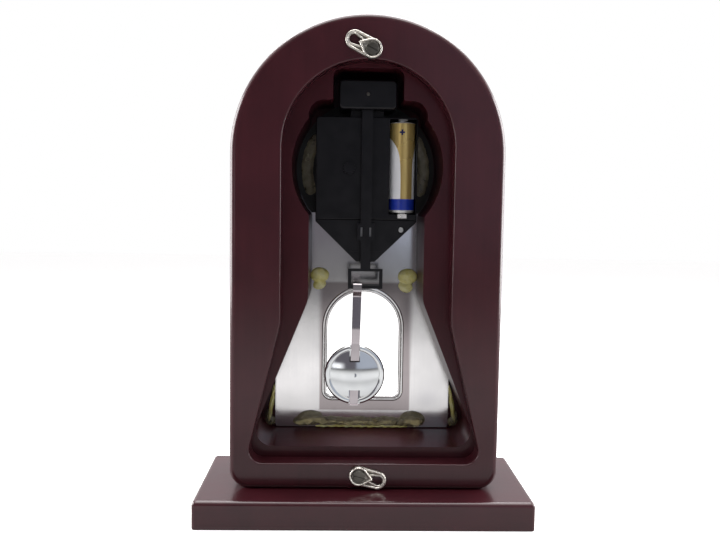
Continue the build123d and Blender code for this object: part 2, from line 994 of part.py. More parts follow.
# Flat glass that rests against the bezel's lip
with BuildPart() as dial_glass:
    with BuildSketch(facing(glass_front_y)):
        with Locations((0, dial_z)):
            Circle(bezel_inner + bezel_groove - glass_gap)
    extrude(amount=-glass_thickness)
dial_glass.part.label = "dial_glass"
export_step(dial_glass.part, "parts/dial_glass.step")

# Rubber washer between the dial board and the movement
with BuildPart() as rubber_washer:
    with BuildSketch(facing(movement_front_y)):
        with Locations((0, dial_z)):
            Circle(washer_radius)
            Circle(bush_radius + seat_gap, mode=Mode.SUBTRACT)
    extrude(amount=washer_thickness)
rubber_washer.part.label = "rubber_washer"
export_step(rubber_washer.part, "parts/rubber_washer.step")

# Threaded bush, flanged inside the movement, which carries the pipes of the hands
shell_floor_y = movement_front_y + shell_floor
bush_front_y = dial_front_y - nut_thickness - bush_end_gap
with BuildPart() as threaded_bush:
    with BuildSketch(facing(shell_floor_y + bush_flange_thickness)):
        with Locations((0, dial_z)):
            Circle(bush_flange_radius)
    extrude(amount=bush_flange_thickness)
    with BuildSketch(facing(shell_floor_y)):
        with Locations((0, dial_z)):
            Circle(bush_radius)
    extrude(amount=shell_floor_y - bush_front_y)
    with BuildSketch(facing(shell_floor_y + bush_flange_thickness)):
        with Locations((0, dial_z)):
            Circle(hour_pipe_radius + running_gap)
    extrude(amount=shell_floor_y + bush_flange_thickness - bush_front_y, mode=Mode.SUBTRACT)
threaded_bush.part.label = "threaded_bush"
export_step(threaded_bush.part, "parts/threaded_bush.step")

# Hexagon nut that clamps dial, panel and movement together
with BuildPart() as bush_nut:
    with BuildSketch(facing(dial_front_y)):
        with Locations((0, dial_z)):
            RegularPolygon(nut_across_flats / 2, 6, major_radius=False)
            Circle(bush_radius + seat_gap, mode=Mode.SUBTRACT)
    extrude(amount=nut_thickness)
bush_nut.part.label = "bush_nut"
export_step(bush_nut.part, "parts/bush_nut.step")

# Axes of the train, as X and Z
centre = (0, dial_z)
motion_axis = spot(centre, motion_distance, motion_bearing_deg)
third_axis = spot(centre, third_distance, third_bearing_deg)
middle_axis = spot(centre, middle_distance, middle_bearing_deg)
rotor_axis = spot(middle_axis, rotor_distance, rotor_bearing_deg)

# Front shell of the movement: a tray for the train above and for the drive coil below
cover_screw_z = movement_bottom_z - cover_screw_drop
cover_inner_y = drive_cover_rear_y - shell_floor
drive_coil_rear_y = cover_inner_y - drive_coil_gap
drive_coil_front_y = drive_coil_rear_y - drive_coil_thickness
with BuildPart() as movement_front_shell:
    with BuildSketch(facing(split_y)):
        add(movement_outline(0))
    extrude(amount=front_shell_depth)
    fillet(movement_front_shell.faces().sort_by(Axis.Y)[0].edges(), shell_edge_radius)
    with BuildSketch(facing(split_y)):
        add(movement_outline(shell_wall))
    extrude(amount=front_shell_depth - shell_floor, mode=Mode.SUBTRACT)
    with BuildSketch(facing(shell_floor_y)):
        with Locations((0, magnet_z)):
            Circle(drive_collar_radius)
    extrude(amount=shell_floor_y - drive_coil_front_y)
    with BuildSketch(facing(shell_floor_y)):
        with Locations((0, magnet_z)):
            Circle(drive_coil_bore_radius - drive_post_gap)
    extrude(amount=shell_floor_y - drive_coil_rear_y)
    with BuildSketch(facing(shell_floor_y)):
        with Locations((cover_screw_x, cover_screw_z)):
            Circle(cover_boss_radius)
    extrude(amount=shell_floor_y - cover_inner_y)
    with BuildSketch(facing(cover_inner_y)):
        with Locations((cover_screw_x, cover_screw_z)):
            Circle(cover_screw_radius + seat_gap)
    extrude(amount=cover_hole_depth, mode=Mode.SUBTRACT)
    with BuildSketch(facing(shell_floor_y)):
        with Locations(centre):
            Circle(bush_radius + seat_gap)
    extrude(amount=shell_floor, mode=Mode.SUBTRACT)
    with BuildSketch(facing(shell_floor_y)):
        with Locations(third_axis, middle_axis, rotor_axis):
            Circle(arbor_radius + running_gap)
        with Locations(motion_axis):
            Circle(knob_shaft_radius + running_gap)
    extrude(amount=arbor_seat_depth, mode=Mode.SUBTRACT)
movement_front_shell.part.label = "movement_front_shell"
export_step(movement_front_shell.part, "parts/movement_front_shell.step")

# Rear cover of the movement: the works chamber inside, the battery bay open at the back
trough_radius = battery_diameter / 2 + battery_gap
battery_x = trough_radius + bay_side_wall - movement_width / 2
battery_y = movement_rear_y - trough_radius
bay_top_z = movement_top_z - bay_top_wall
battery_top_z = bay_top_z - contact_sheet - battery_end_gap
battery_bottom_z = battery_top_z - battery_length
bay_bottom_z = battery_bottom_z - contact_space
bay_length = bay_top_z - bay_bottom_z
chamber_left = battery_x + trough_radius + bay_inner_wall
chamber_right = movement_width / 2 - shell_wall
chamber_x = (chamber_left + chamber_right) / 2
chamber_width = chamber_right - chamber_left
chamber_height = movement_height - 2 * shell_wall
with BuildPart() as movement_rear_cover:
    with BuildSketch(facing(movement_rear_y)) as cover_outline:
        with Locations(centre):
            Rectangle(movement_width, movement_height)
        fillet(cover_outline.vertices().group_by(Axis.Y)[-1], movement_corner_radius)
    extrude(amount=movement_rear_y - split_y)
    fillet(movement_rear_cover.faces().sort_by(Axis.Y)[-1].edges(), shell_edge_radius)
    with BuildSketch(facing(split_y)):
        with Locations((chamber_x, dial_z)):
            Rectangle(chamber_width, chamber_height)
    extrude(amount=split_y - movement_rear_y + shell_floor, mode=Mode.SUBTRACT)
    with BuildSketch(facing(movement_rear_y)):
        with Locations((battery_x, (bay_top_z + bay_bottom_z) / 2)):
            Rectangle(2 * trough_radius, bay_length)
    extrude(amount=trough_radius, mode=Mode.SUBTRACT)
    with BuildSketch(Plane.XY.offset(bay_bottom_z)):
        with Locations((battery_x, battery_y)):
            Circle(trough_radius)
    extrude(amount=bay_length, mode=Mode.SUBTRACT)
    with BuildSketch(facing(movement_rear_y)):
        with Locations(motion_axis):
            Circle(knob_shaft_radius + shaft_hole_gap)
    extrude(amount=shell_floor, mode=Mode.SUBTRACT)
movement_rear_cover.part.label = "movement_rear_cover"
export_step(movement_rear_cover.part, "parts/movement_rear_cover.step")

# Drive cover: the tapered cup over the drive coil, which the arm swings behind
rib_z = movement_bottom_z - drive_cover_rib_drop
with BuildPart() as drive_cover:
    with BuildSketch(facing(drive_cover_rear_y)):
        add(drive_outline(0))
    extrude(amount=drive_cover_rear_y - split_y)
    fillet(drive_cover.faces().sort_by(Axis.Y)[-1].edges(), shell_edge_radius)
    with BuildSketch(facing(split_y)):
        add(drive_outline(shell_wall))
    extrude(amount=split_y - cover_inner_y, mode=Mode.SUBTRACT)
    with BuildSketch(facing(drive_cover_rear_y)):
        with Locations((cover_screw_x, cover_screw_z)):
            Circle(cover_screw_radius + seat_gap)
    extrude(amount=shell_floor, mode=Mode.SUBTRACT)
    with BuildSketch(facing(drive_cover_rear_y)):
        with Locations((0, rib_z)):
            Rectangle(drive_cover_rib_width, drive_cover_rib_height)
    extrude(amount=-drive_cover_rib_rise)
drive_cover.part.label = "drive_cover"
export_step(drive_cover.part, "parts/drive_cover.step")

# Small pan-head screw that holds the drive cover
with BuildPart() as drive_cover_screw:
    with BuildSketch(facing(drive_cover_rear_y)):
        with Locations((cover_screw_x, cover_screw_z)):
            Circle(cover_screw_head_radius)
    extrude(amount=-cover_screw_head_height)
    fillet(drive_cover_screw.faces().sort_by(Axis.Y)[-1].edges(), cover_screw_head_height / 2)
    with BuildSketch(facing(drive_cover_rear_y)):
        with Locations((cover_screw_x, cover_screw_z)):
            Circle(cover_screw_radius)
    extrude(amount=cover_screw_length)
drive_cover_screw.part.label = "drive_cover_screw"
export_step(drive_cover_screw.part, "parts/drive_cover_screw.step")

# Hanger block on a foot over the movement, slotted for the pendulum arm
block_middle_z = (block_bottom_z + block_top_z) / 2
block_front_y = block_rear_y - block_depth
pin_front_y = block_rear_y - pin_length
eye_room = arm_eye_radius + arm_slot_gap
with BuildPart() as hanger_block:
    with BuildSketch(facing(block_rear_y)):
        with Locations((0, block_middle_z)):
            RectangleRounded(block_width, block_height, block_corner_radius)
    extrude(amount=block_depth)
    fillet(hanger_block.faces().sort_by(Axis.Y)[-1].edges(), block_edge_radius)
    with BuildSketch(Plane.XY.offset(movement_top_z)):
        with Locations((0, block_front_y + block_stem_inset)):
            Rectangle(block_stem_width, block_stem_depth, align=(Align.CENTER, Align.MIN))
    extrude(amount=block_stem_height)
    with BuildSketch(facing(arm_rear_y + arm_slot_gap)):
        with Locations((0, pivot_z)):
            Circle(eye_room)
        with Locations((0, block_bottom_z)):
            Rectangle(2 * eye_room, pivot_rise, align=(Align.CENTER, Align.MIN))
    extrude(amount=arm_thickness + 2 * arm_slot_gap, mode=Mode.SUBTRACT)
    with BuildSketch(facing(block_rear_y)):
        with Locations((0, pivot_z)):
            Circle(pin_radius + seat_gap)
    extrude(amount=pin_length, mode=Mode.SUBTRACT)
hanger_block.part.label = "hanger_block"
export_step(hanger_block.part, "parts/hanger_block.step")

# Pin through the block that the arm hangs from
with BuildPart() as arm_pivot_pin:
    with BuildSketch(facing(block_rear_y + pin_dome)):
        with Locations((0, pivot_z)):
            Circle(pin_radius)
    extrude(amount=pin_length + pin_dome)
    fillet(arm_pivot_pin.faces().sort_by(Axis.Y)[-1].edges(), pin_dome)
arm_pivot_pin.part.label = "arm_pivot_pin"
export_step(arm_pivot_pin.part, "parts/arm_pivot_pin.step")

# Battery cell, positive end up
with BuildPart() as battery:
    with BuildSketch(Plane.XY.offset(battery_bottom_z)):
        with Locations((battery_x, battery_y)):
            Circle(battery_diameter / 2)
    extrude(amount=battery_length - nub_height)
    fillet(battery.edges().filter_by(GeomType.CIRCLE), battery_edge_radius)
    with BuildSketch(Plane.XY.offset(battery_top_z - nub_height)):
        with Locations((battery_x, battery_y)):
            Circle(nub_radius)
    extrude(amount=nub_height)
battery.part.label = "battery"
export_step(battery.part, "parts/battery.step")

# Contact plate at the battery's positive end
with BuildPart() as positive_contact:
    with BuildSketch(Plane.XY.offset(bay_top_z)):
        with Locations((battery_x, battery_y)):
            Rectangle(contact_width, contact_depth)
    extrude(amount=-contact_sheet)
positive_contact.part.label = "positive_contact"
export_step(positive_contact.part, "parts/positive_contact.step")

# Contact at the negative end, folded over the edge of the bay
contact_front_y = battery_y - contact_depth / 2
with BuildPart() as negative_contact:
    with BuildSketch(Plane.XY.offset(bay_bottom_z)):
        with Locations((battery_x, contact_front_y)):
            Rectangle(
                contact_width,
                movement_rear_y + contact_sheet - contact_front_y,
                align=(Align.CENTER, Align.MIN),
            )
    extrude(amount=contact_sheet)
    with BuildSketch(facing(movement_rear_y)):
        with Locations((battery_x, bay_bottom_z)):
            Rectangle(contact_width, contact_tab, align=(Align.CENTER, Align.MAX))
    extrude(amount=-contact_sheet)
    with BuildSketch(Plane.XY.offset(bay_bottom_z + contact_sheet)):
        with Locations((battery_x, battery_y)):
            Circle(contact_bump_radius)
    extrude(amount=contact_bump_height)
negative_contact.part.label = "negative_contact"
export_step(negative_contact.part, "parts/negative_contact.step")

# Hour wheel on its pipe
hour_hand_y = bush_front_y - level_gap / 2
minute_hand_y = hour_hand_y - hand_thickness - hand_gap
second_hand_y = minute_hand_y - hand_thickness - hand_gap
motion_module = 2 * motion_distance / (motion_pinion_teeth + hour_wheel_teeth)
minute_module = 2 * motion_distance / (minute_pinion_teeth + motion_wheel_teeth)
third_module = 2 * third_distance / (third_pinion_teeth + centre_wheel_teeth)
second_module = 2 * third_distance / (second_pinion_teeth + third_wheel_teeth)
middle_module = 2 * middle_distance / (middle_pinion_teeth + second_wheel_teeth)
rotor_module = 2 * rotor_distance / (rotor_pinion_teeth + middle_wheel_teeth)
with BuildPart() as hour_wheel:
    with BuildSketch(facing(level_y(0))):
        add(
            toothed_face(
                centre,
                hour_wheel_teeth,
                motion_module,
                mesh_phase(0, motion_pinion_teeth, motion_bearing_deg + 180, hour_wheel_teeth),
            )
        )
    extrude(amount=-wheel_thickness)
    with BuildSketch(facing(level_y(0))):
        with Locations(centre):
            Circle(hour_pipe_radius)
    extrude(amount=level_y(0) - hour_hand_y + hand_thickness)
    with BuildSketch(facing(level_y(0) + wheel_thickness)):
        with Locations(centre):
            Circle(minute_pipe_radius + running_gap)
    extrude(
        amount=level_y(0) + wheel_thickness - hour_hand_y + hand_thickness,
        mode=Mode.SUBTRACT,
    )
hour_wheel.part.label = "hour_wheel"
export_step(hour_wheel.part, "parts/hour_wheel.step")

# Motion wheel and pinion on the shaft of the set knob
knob_front_y = movement_rear_y + knob_gap
socket_y = shell_floor_y - arbor_seat_depth + running_gap
with BuildPart() as motion_wheel:
    with BuildSketch(facing(level_y(1))):
        add(
            toothed_face(
                motion_axis,
                motion_wheel_teeth,
                minute_module,
                mesh_phase(0, minute_pinion_teeth, motion_bearing_deg, motion_wheel_teeth),
            )
        )
    extrude(amount=-wheel_thickness)
    with BuildSketch(facing(level_y(0))):
        add(toothed_face(motion_axis, motion_pinion_teeth, motion_module, 0))
    extrude(amount=-level_pitch)
    with BuildSketch(facing(socket_y)):
        with Locations(motion_axis):
            Circle(knob_shaft_radius)
    extrude(amount=socket_y - knob_front_y - knob_socket_depth)
motion_wheel.part.label = "motion_wheel"
export_step(motion_wheel.part, "parts/motion_wheel.step")

# Fluted knob behind the movement that sets the hands
with BuildPart() as set_knob:
    with BuildSketch(facing(knob_front_y)):
        with Locations(motion_axis):
            Circle(knob_radius)
            with PolarLocations(knob_radius, knob_flutes):
                Circle(knob_flute_radius, mode=Mode.SUBTRACT)
    extrude(amount=-knob_thickness)
    with BuildSketch(facing(knob_front_y)):
        with Locations(motion_axis):
            Circle(knob_shaft_radius + seat_gap)
    extrude(amount=-knob_socket_depth - seat_gap, mode=Mode.SUBTRACT)
set_knob.part.label = "set_knob"
export_step(set_knob.part, "parts/set_knob.step")

# Centre wheel, minute pinion and the pipe of the minute hand
with BuildPart() as centre_wheel:
    with BuildSketch(facing(level_y(2))):
        add(
            toothed_face(
                centre,
                centre_wheel_teeth,
                third_module,
                mesh_phase(0, third_pinion_teeth, third_bearing_deg + 180, centre_wheel_teeth),
            )
        )
    extrude(amount=-wheel_thickness)
    with BuildSketch(facing(level_y(1))):
        add(toothed_face(centre, minute_pinion_teeth, minute_module, 0))
    extrude(amount=-level_pitch)
    with BuildSketch(facing(level_y(1))):
        with Locations(centre):
            Circle(minute_pipe_radius)
    extrude(amount=level_y(1) - minute_hand_y + hand_thickness)
    with BuildSketch(facing(level_y(2) + wheel_thickness)):
        with Locations(centre):
            Circle(second_arbor_radius + running_gap)
    extrude(
        amount=level_y(2) + wheel_thickness - minute_hand_y + hand_thickness,
        mode=Mode.SUBTRACT,
    )
centre_wheel.part.label = "centre_wheel"
export_step(centre_wheel.part, "parts/centre_wheel.step")

# Third wheel and pinion
bridge_rear_y = movement_rear_y - shell_floor - bridge_rear_gap
bridge_front_y = bridge_rear_y - bridge_thickness
arbor_rear_y = bridge_rear_y - seat_gap
with BuildPart() as third_wheel:
    with BuildSketch(facing(level_y(3))):
        add(
            toothed_face(
                third_axis,
                third_wheel_teeth,
                second_module,
                mesh_phase(0, second_pinion_teeth, third_bearing_deg, third_wheel_teeth),
            )
        )
    extrude(amount=-wheel_thickness)
    with BuildSketch(facing(level_y(2))):
        add(toothed_face(third_axis, third_pinion_teeth, third_module, 0))
    extrude(amount=-level_pitch)
    with BuildSketch(facing(socket_y)):
        with Locations(third_axis):
            Circle(arbor_radius)
    extrude(amount=socket_y - arbor_rear_y)
third_wheel.part.label = "third_wheel"
export_step(third_wheel.part, "parts/third_wheel.step")

# Second wheel and pinion on the long arbor of the second hand
with BuildPart() as second_wheel:
    with BuildSketch(facing(level_y(4))):
        add(toothed_face(centre, second_wheel_teeth, middle_module, 0))
    extrude(amount=-wheel_thickness)
    with BuildSketch(facing(level_y(3))):
        add(toothed_face(centre, second_pinion_teeth, second_module, 0))
    extrude(amount=-level_pitch)
    with BuildSketch(facing(second_hand_y - second_hand_thickness)):
        with Locations(centre):
            Circle(second_arbor_radius)
    extrude(amount=second_hand_y - second_hand_thickness - arbor_rear_y)
second_wheel.part.label = "second_wheel"
export_step(second_wheel.part, "parts/second_wheel.step")

# Intermediate wheel and pinion
with BuildPart() as intermediate_wheel:
    with BuildSketch(facing(level_y(5))):
        add(toothed_face(middle_axis, middle_wheel_teeth, rotor_module, 0))
    extrude(amount=-wheel_thickness)
    with BuildSketch(facing(level_y(4))):
        add(
            toothed_face(
                middle_axis,
                middle_pinion_teeth,
                middle_module,
                mesh_phase(0, second_wheel_teeth, middle_bearing_deg, middle_pinion_teeth),
            )
        )
    extrude(amount=-level_pitch)
    with BuildSketch(facing(socket_y)):
        with Locations(middle_axis):
            Circle(arbor_radius)
    extrude(amount=socket_y - arbor_rear_y)
intermediate_wheel.part.label = "intermediate_wheel"
export_step(intermediate_wheel.part, "parts/intermediate_wheel.step")

# Magnetic rotor with its pinion
magnet_front_y = level_y(5) + wheel_thickness + rotor_magnet_gap
with BuildPart() as rotor:
    with BuildSketch(facing(level_y(5))):
        add(
            toothed_face(
                rotor_axis,
                rotor_pinion_teeth,
                rotor_module,
                mesh_phase(0, middle_wheel_teeth, rotor_bearing_deg, rotor_pinion_teeth),
            )
        )
    extrude(amount=-wheel_thickness)
    with BuildSketch(facing(magnet_front_y)):
        with Locations(rotor_axis):
            Circle(rotor_magnet_radius)
    extrude(amount=-rotor_magnet_thickness)
    with BuildSketch(facing(socket_y)):
        with Locations(rotor_axis):
            Circle(arbor_radius)
    extrude(amount=socket_y - arbor_rear_y)
rotor.part.label = "rotor"
export_step(rotor.part, "parts/rotor.step")

# Stator plate around the rotor, with the core bar of the motor coil
stator_front_y = magnet_front_y + stator_gap
stator_rear_y = stator_front_y + stator_thickness
stator_left_x = rotor_axis[0] - stator_left
stator_right_x = rotor_axis[0] + stator_right
stator_bottom_z = rotor_axis[1] - stator_bottom
stator_top_z = rotor_axis[1] + stator_top
core_top_z = stator_bottom_z + stator_core_height
coil_middle_z = stator_bottom_z + stator_core_height / 2
coil_space_left = rotor_axis[0] + stator_window_left
coil_space_right = rotor_axis[0] + stator_window_right
coil_start_x = (coil_space_left + coil_space_right - coil_length) / 2
with BuildPart() as motor_stator:
    with BuildSketch(facing(stator_rear_y)):
        with Locations(((stator_left_x + stator_right_x) / 2, (stator_bottom_z + stator_top_z) / 2)):
            Rectangle(stator_right_x - stator_left_x, stator_top_z - stator_bottom_z)
        with Locations(rotor_axis):
            Circle(rotor_magnet_radius + stator_air_gap, mode=Mode.SUBTRACT)
        with Locations(((coil_space_left + coil_space_right) / 2, core_top_z)):
            Rectangle(
                coil_space_right - coil_space_left,
                stator_window_height,
                align=(Align.CENTER, Align.MIN),
                mode=Mode.SUBTRACT,
            )
    extrude(amount=stator_thickness)
motor_stator.part.label = "motor_stator"
export_step(motor_stator.part, "parts/motor_stator.step")

# Motor coil wound between two flanges around the core bar
stator_middle_y = (stator_front_y + stator_rear_y) / 2
coil_spot = (stator_middle_y, coil_middle_z)
with BuildPart() as motor_coil:
    with BuildSketch(Plane.YZ.offset(coil_start_x)):
        with Locations(coil_spot):
            Circle(coil_radius)
    extrude(amount=coil_flange)
    with BuildSketch(Plane.YZ.offset(coil_start_x)):
        with Locations(coil_spot):
            Circle(coil_winding_radius)
    extrude(amount=coil_length)
    with BuildSketch(Plane.YZ.offset(coil_start_x + coil_length - coil_flange)):
        with Locations(coil_spot):
            Circle(coil_radius)
    extrude(amount=coil_flange)
    with BuildSketch(Plane.YZ.offset(coil_start_x)):
        with Locations(coil_spot):
            Circle(coil_bore_radius)
    extrude(amount=coil_length, mode=Mode.SUBTRACT)
motor_coil.part.label = "motor_coil"
export_step(motor_coil.part, "parts/motor_coil.step")

# Train bridge on four pillars, with standoffs for the stator and the circuit board
bridge_half_width = chamber_width / 2 - bridge_edge_gap
bridge_half_height = chamber_height / 2 - bridge_edge_gap
pillar_x = 2 * (bridge_half_width - pillar_radius - pillar_inset)
pillar_z = 2 * (bridge_half_height - pillar_radius - pillar_inset)
board_z = dial_z + board_rise
board_rear_y = bridge_front_y - board_standoff
with BuildPart() as train_bridge:
    with BuildSketch(facing(bridge_rear_y)):
        with Locations((chamber_x, dial_z)):
            Rectangle(2 * bridge_half_width, 2 * bridge_half_height)
        with Locations(third_axis, middle_axis, rotor_axis):
            Circle(arbor_radius + running_gap, mode=Mode.SUBTRACT)
        with Locations(centre):
            Circle(second_arbor_radius + running_gap, mode=Mode.SUBTRACT)
        with Locations(motion_axis):
            Circle(knob_shaft_radius + running_gap, mode=Mode.SUBTRACT)
    extrude(amount=bridge_thickness)
    with BuildSketch(facing(bridge_front_y)):
        with Locations((chamber_x, dial_z)):
            with GridLocations(pillar_x, pillar_z, 2, 2):
                Circle(pillar_radius)
    extrude(amount=bridge_front_y - shell_floor_y)
    with BuildSketch(facing(bridge_front_y)):
        with Locations(
            (stator_left_x + standoff_inset, core_top_z + standoff_inset),
            (stator_right_x - standoff_inset, stator_top_z - standoff_inset),
        ):
            Circle(standoff_radius)
    extrude(amount=bridge_front_y - stator_rear_y)
    with BuildSketch(facing(bridge_front_y)):
        with Locations((board_x, board_z)):
            with GridLocations(
                board_width - 2 * standoff_inset,
                board_height - 2 * standoff_inset,
                2,
                2,
            ):
                Circle(standoff_radius)
    extrude(amount=board_standoff)
train_bridge.part.label = "train_bridge"
export_step(train_bridge.part, "parts/train_bridge.step")

# Circuit board with the moulded blob over its chip
board_front_y = board_rear_y - board_thickness
with BuildPart() as circuit_board:
    with BuildSketch(facing(board_rear_y)):
        with Locations((board_x, board_z)):
            Rectangle(board_width, board_height)
    extrude(amount=board_thickness)
    with BuildSketch(facing(board_front_y)):
        with Locations((board_x, board_z + chip_offset)):
            Circle(chip_radius)
    extrude(amount=chip_height)
    fillet(circuit_board.faces().sort_by(Axis.Y)[0].edges(), chip_edge_radius)
circuit_board.part.label = "circuit_board"
export_step(circuit_board.part, "parts/circuit_board.step")

# Quartz crystal lying on the board
with BuildPart() as quartz_crystal:
    with BuildSketch(Plane.YZ.offset(board_x - crystal_length / 2)):
        with Locations((board_front_y - crystal_radius, board_z - crystal_offset)):
            Circle(crystal_radius)
    extrude(amount=crystal_length)
quartz_crystal.part.label = "quartz_crystal"
export_step(quartz_crystal.part, "parts/quartz_crystal.step")

# Drive coil that pushes the pendulum's magnet
with BuildPart() as drive_coil:
    with BuildSketch(facing(drive_coil_rear_y)):
        with Locations((0, magnet_z)):
            Circle(drive_coil_radius)
            Circle(drive_coil_bore_radius, mode=Mode.SUBTRACT)
    extrude(amount=drive_coil_thickness)
drive_coil.part.label = "drive_coil"
export_step(drive_coil.part, "parts/drive_coil.step")

# Hour hand
hour_hand_deg = (shown_hours + (shown_minutes + shown_seconds / 60) / 60) * 30
minute_hand_deg = (shown_minutes + shown_seconds / 60) * 6
second_hand_deg = shown_seconds * 6
with BuildPart() as hour_hand:
    with BuildSketch(hand_plane(hour_hand_deg, hour_hand_y)):
        add(hand_outline(hour_hand_length, hour_tail_length, hour_hand_width))
        Circle(hour_hub_radius)
        Circle(hour_pipe_radius + seat_gap, mode=Mode.SUBTRACT)
    extrude(amount=hand_thickness)
hour_hand.part.label = "hour_hand"
export_step(hour_hand.part, "parts/hour_hand.step")

# Minute hand
with BuildPart() as minute_hand:
    with BuildSketch(hand_plane(minute_hand_deg, minute_hand_y)):
        add(hand_outline(minute_hand_length, minute_tail_length, minute_hand_width))
        Circle(minute_hub_radius)
        Circle(minute_pipe_radius + seat_gap, mode=Mode.SUBTRACT)
    extrude(amount=hand_thickness)
minute_hand.part.label = "minute_hand"
export_step(minute_hand.part, "parts/minute_hand.step")

# Second hand, balanced by a disc on its tail, under a small cap
with BuildPart() as second_hand:
    with BuildSketch(hand_plane(second_hand_deg, second_hand_y)):
        add(hand_outline(second_hand_length, second_tail_length, second_hand_width))
        Circle(second_hub_radius)
        with Locations((-second_tail_length, 0)):
            Circle(second_weight_radius)
        Circle(second_arbor_radius + seat_gap, mode=Mode.SUBTRACT)
    extrude(amount=second_hand_thickness)
    with BuildSketch(facing(second_hand_y - second_hand_thickness)):
        with Locations(centre):
            Circle(second_hub_radius)
    extrude(amount=second_cap_height)
second_hand.part.label = "second_hand"
export_step(second_hand.part, "parts/second_hand.step")

# Pendulum arm: an eye on the pin, a bar, a paddle over the drive coil and a hook frame below
frame_top_inner_z = frame_top_z - frame_head
frame_inner_width = frame_width - 2 * frame_side
paddle_bottom_z = magnet_z - paddle_height / 2
with BuildPart() as pendulum_arm:
    with BuildSketch(facing(arm_rear_y)):
        with Locations((0, pivot_z)):
            Circle(arm_eye_radius)
        with Locations((0, magnet_z)):
            Rectangle(arm_width, pivot_z - magnet_z, align=(Align.CENTER, Align.MIN))
            Rectangle(paddle_width, paddle_height)
        with Locations((0, frame_top_z)):
            Rectangle(arm_stem_width, magnet_z - frame_top_z, align=(Align.CENTER, Align.MIN))
            Rectangle(frame_width, frame_height, align=(Align.CENTER, Align.MAX))
        with Locations((0, frame_top_inner_z)):
            Rectangle(
                frame_inner_width,
                frame_top_inner_z - hook_z,
                align=(Align.CENTER, Align.MAX),
                mode=Mode.SUBTRACT,
            )
        with Locations((0, pivot_z)):
            Circle(pin_radius + running_gap, mode=Mode.SUBTRACT)
    extrude(amount=arm_thickness)
    with BuildSketch(Plane.YZ.offset(-frame_inner_width / 2)):
        with Locations((pendulum_y, hook_z)):
            Circle(arm_thickness / 2)
    extrude(amount=frame_inner_width)
    with BuildSketch(facing(arm_front_y)):
        with Locations((0, magnet_z)):
            Rectangle(paddle_width, paddle_height)
    extrude(amount=paddle_step)
    with BuildSketch(facing(arm_front_y - paddle_step)):
        with Locations((0, magnet_z)):
            Rectangle(magnet_size + 2 * magnet_gap, magnet_size + 2 * magnet_gap)
    extrude(amount=-magnet_thickness, mode=Mode.SUBTRACT)
    with BuildSketch(facing(arm_rear_y)):
        with Locations((0, magnet_z)):
            with GridLocations(slot_spacing, 0, 2, 1):
                Rectangle(slot_width, slot_height)
    extrude(amount=arm_thickness, mode=Mode.SUBTRACT)
pendulum_arm.part.label = "pendulum_arm"
export_step(pendulum_arm.part, "parts/pendulum_arm.step")

# Flat magnet set into the arm's paddle
with BuildPart() as drive_magnet:
    with BuildSketch(facing(arm_front_y - paddle_step)):
        with Locations((0, magnet_z)):
            Rectangle(magnet_size, magnet_size)
    extrude(amount=-magnet_thickness)
drive_magnet.part.label = "drive_magnet"
export_step(drive_magnet.part, "parts/drive_magnet.step")

# Pendulum rod: a flat strip hooked over the frame's sill and bent at its foot to carry the bob
strip_centre_radius = arm_thickness / 2 + hook_gap + strip_thickness / 2
strip_half = strip_thickness / 2
rod_length = (hook_z - bob_z) / cos(rod_lean)
rod_foot = -rod_length - bob_radius - strip_tip_gap - strip_half
rod_plane = Plane(
    origin=(rod_offset, pendulum_y, hook_z),
    x_dir=(0, 1, 0),
    z_dir=(cos(rod_lean), 0, sin(rod_lean)),
)
with BuildPart() as pendulum_rod:
    with BuildSketch(rod_plane):
        with BuildLine() as rod_line:
            Polyline(
                (strip_centre_radius, 0),
                (strip_centre_radius, -rod_heel),
                (-rod_neck_set, -rod_neck_drop),
                (rod_bend_set, -rod_bend_drop),
                (0, -rod_seat_drop),
                (0, rod_foot),
                (strip_tip_reach, rod_foot),
            )
            fillet(rod_line.vertices().sort_by(Axis.Y)[2:4], rod_bend_radius)
            fillet(rod_line.vertices().sort_by(Axis.Y)[-3:-1], rod_neck_radius)
            fillet(rod_line.vertices().group_by(Axis.Y)[0].sort_by(Axis.X)[0], strip_tip_radius)
            ThreePointArc(
                (strip_centre_radius, 0),
                (0, strip_centre_radius),
                (-strip_centre_radius, 0),
            )
            Line((-strip_centre_radius, 0), (-strip_centre_radius, -hook_lip))
        trace(line_width=strip_thickness)
    extrude(amount=strip_width / 2, both=True)
pendulum_rod.part.label = "pendulum_rod"
export_step(pendulum_rod.part, "parts/pendulum_rod.step")

# Bob: two pressed domes with rolled rims, held rim to rim around the strip
bob_plane = Plane(origin=(bob_offset, pendulum_y, bob_z), x_dir=(0, 1, 0), z_dir=(1, 0, 0))
bob_axis = Axis((bob_offset, 0, bob_z), (0, 1, 0))
with BuildPart() as bob_front_shell:
    with BuildSketch(bob_plane):
        add(dome_outline(-1))
    revolve(axis=bob_axis)
    with BuildSketch(rod_plane):
        with Locations((0, -rod_length)):
            Rectangle(strip_thickness, 2 * (bob_radius + notch_overrun))
    extrude(amount=strip_width / 2 + strip_slot_gap, both=True, mode=Mode.SUBTRACT)
bob_front_shell.part.label = "bob_front_shell"
export_step(bob_front_shell.part, "parts/bob_front_shell.step")

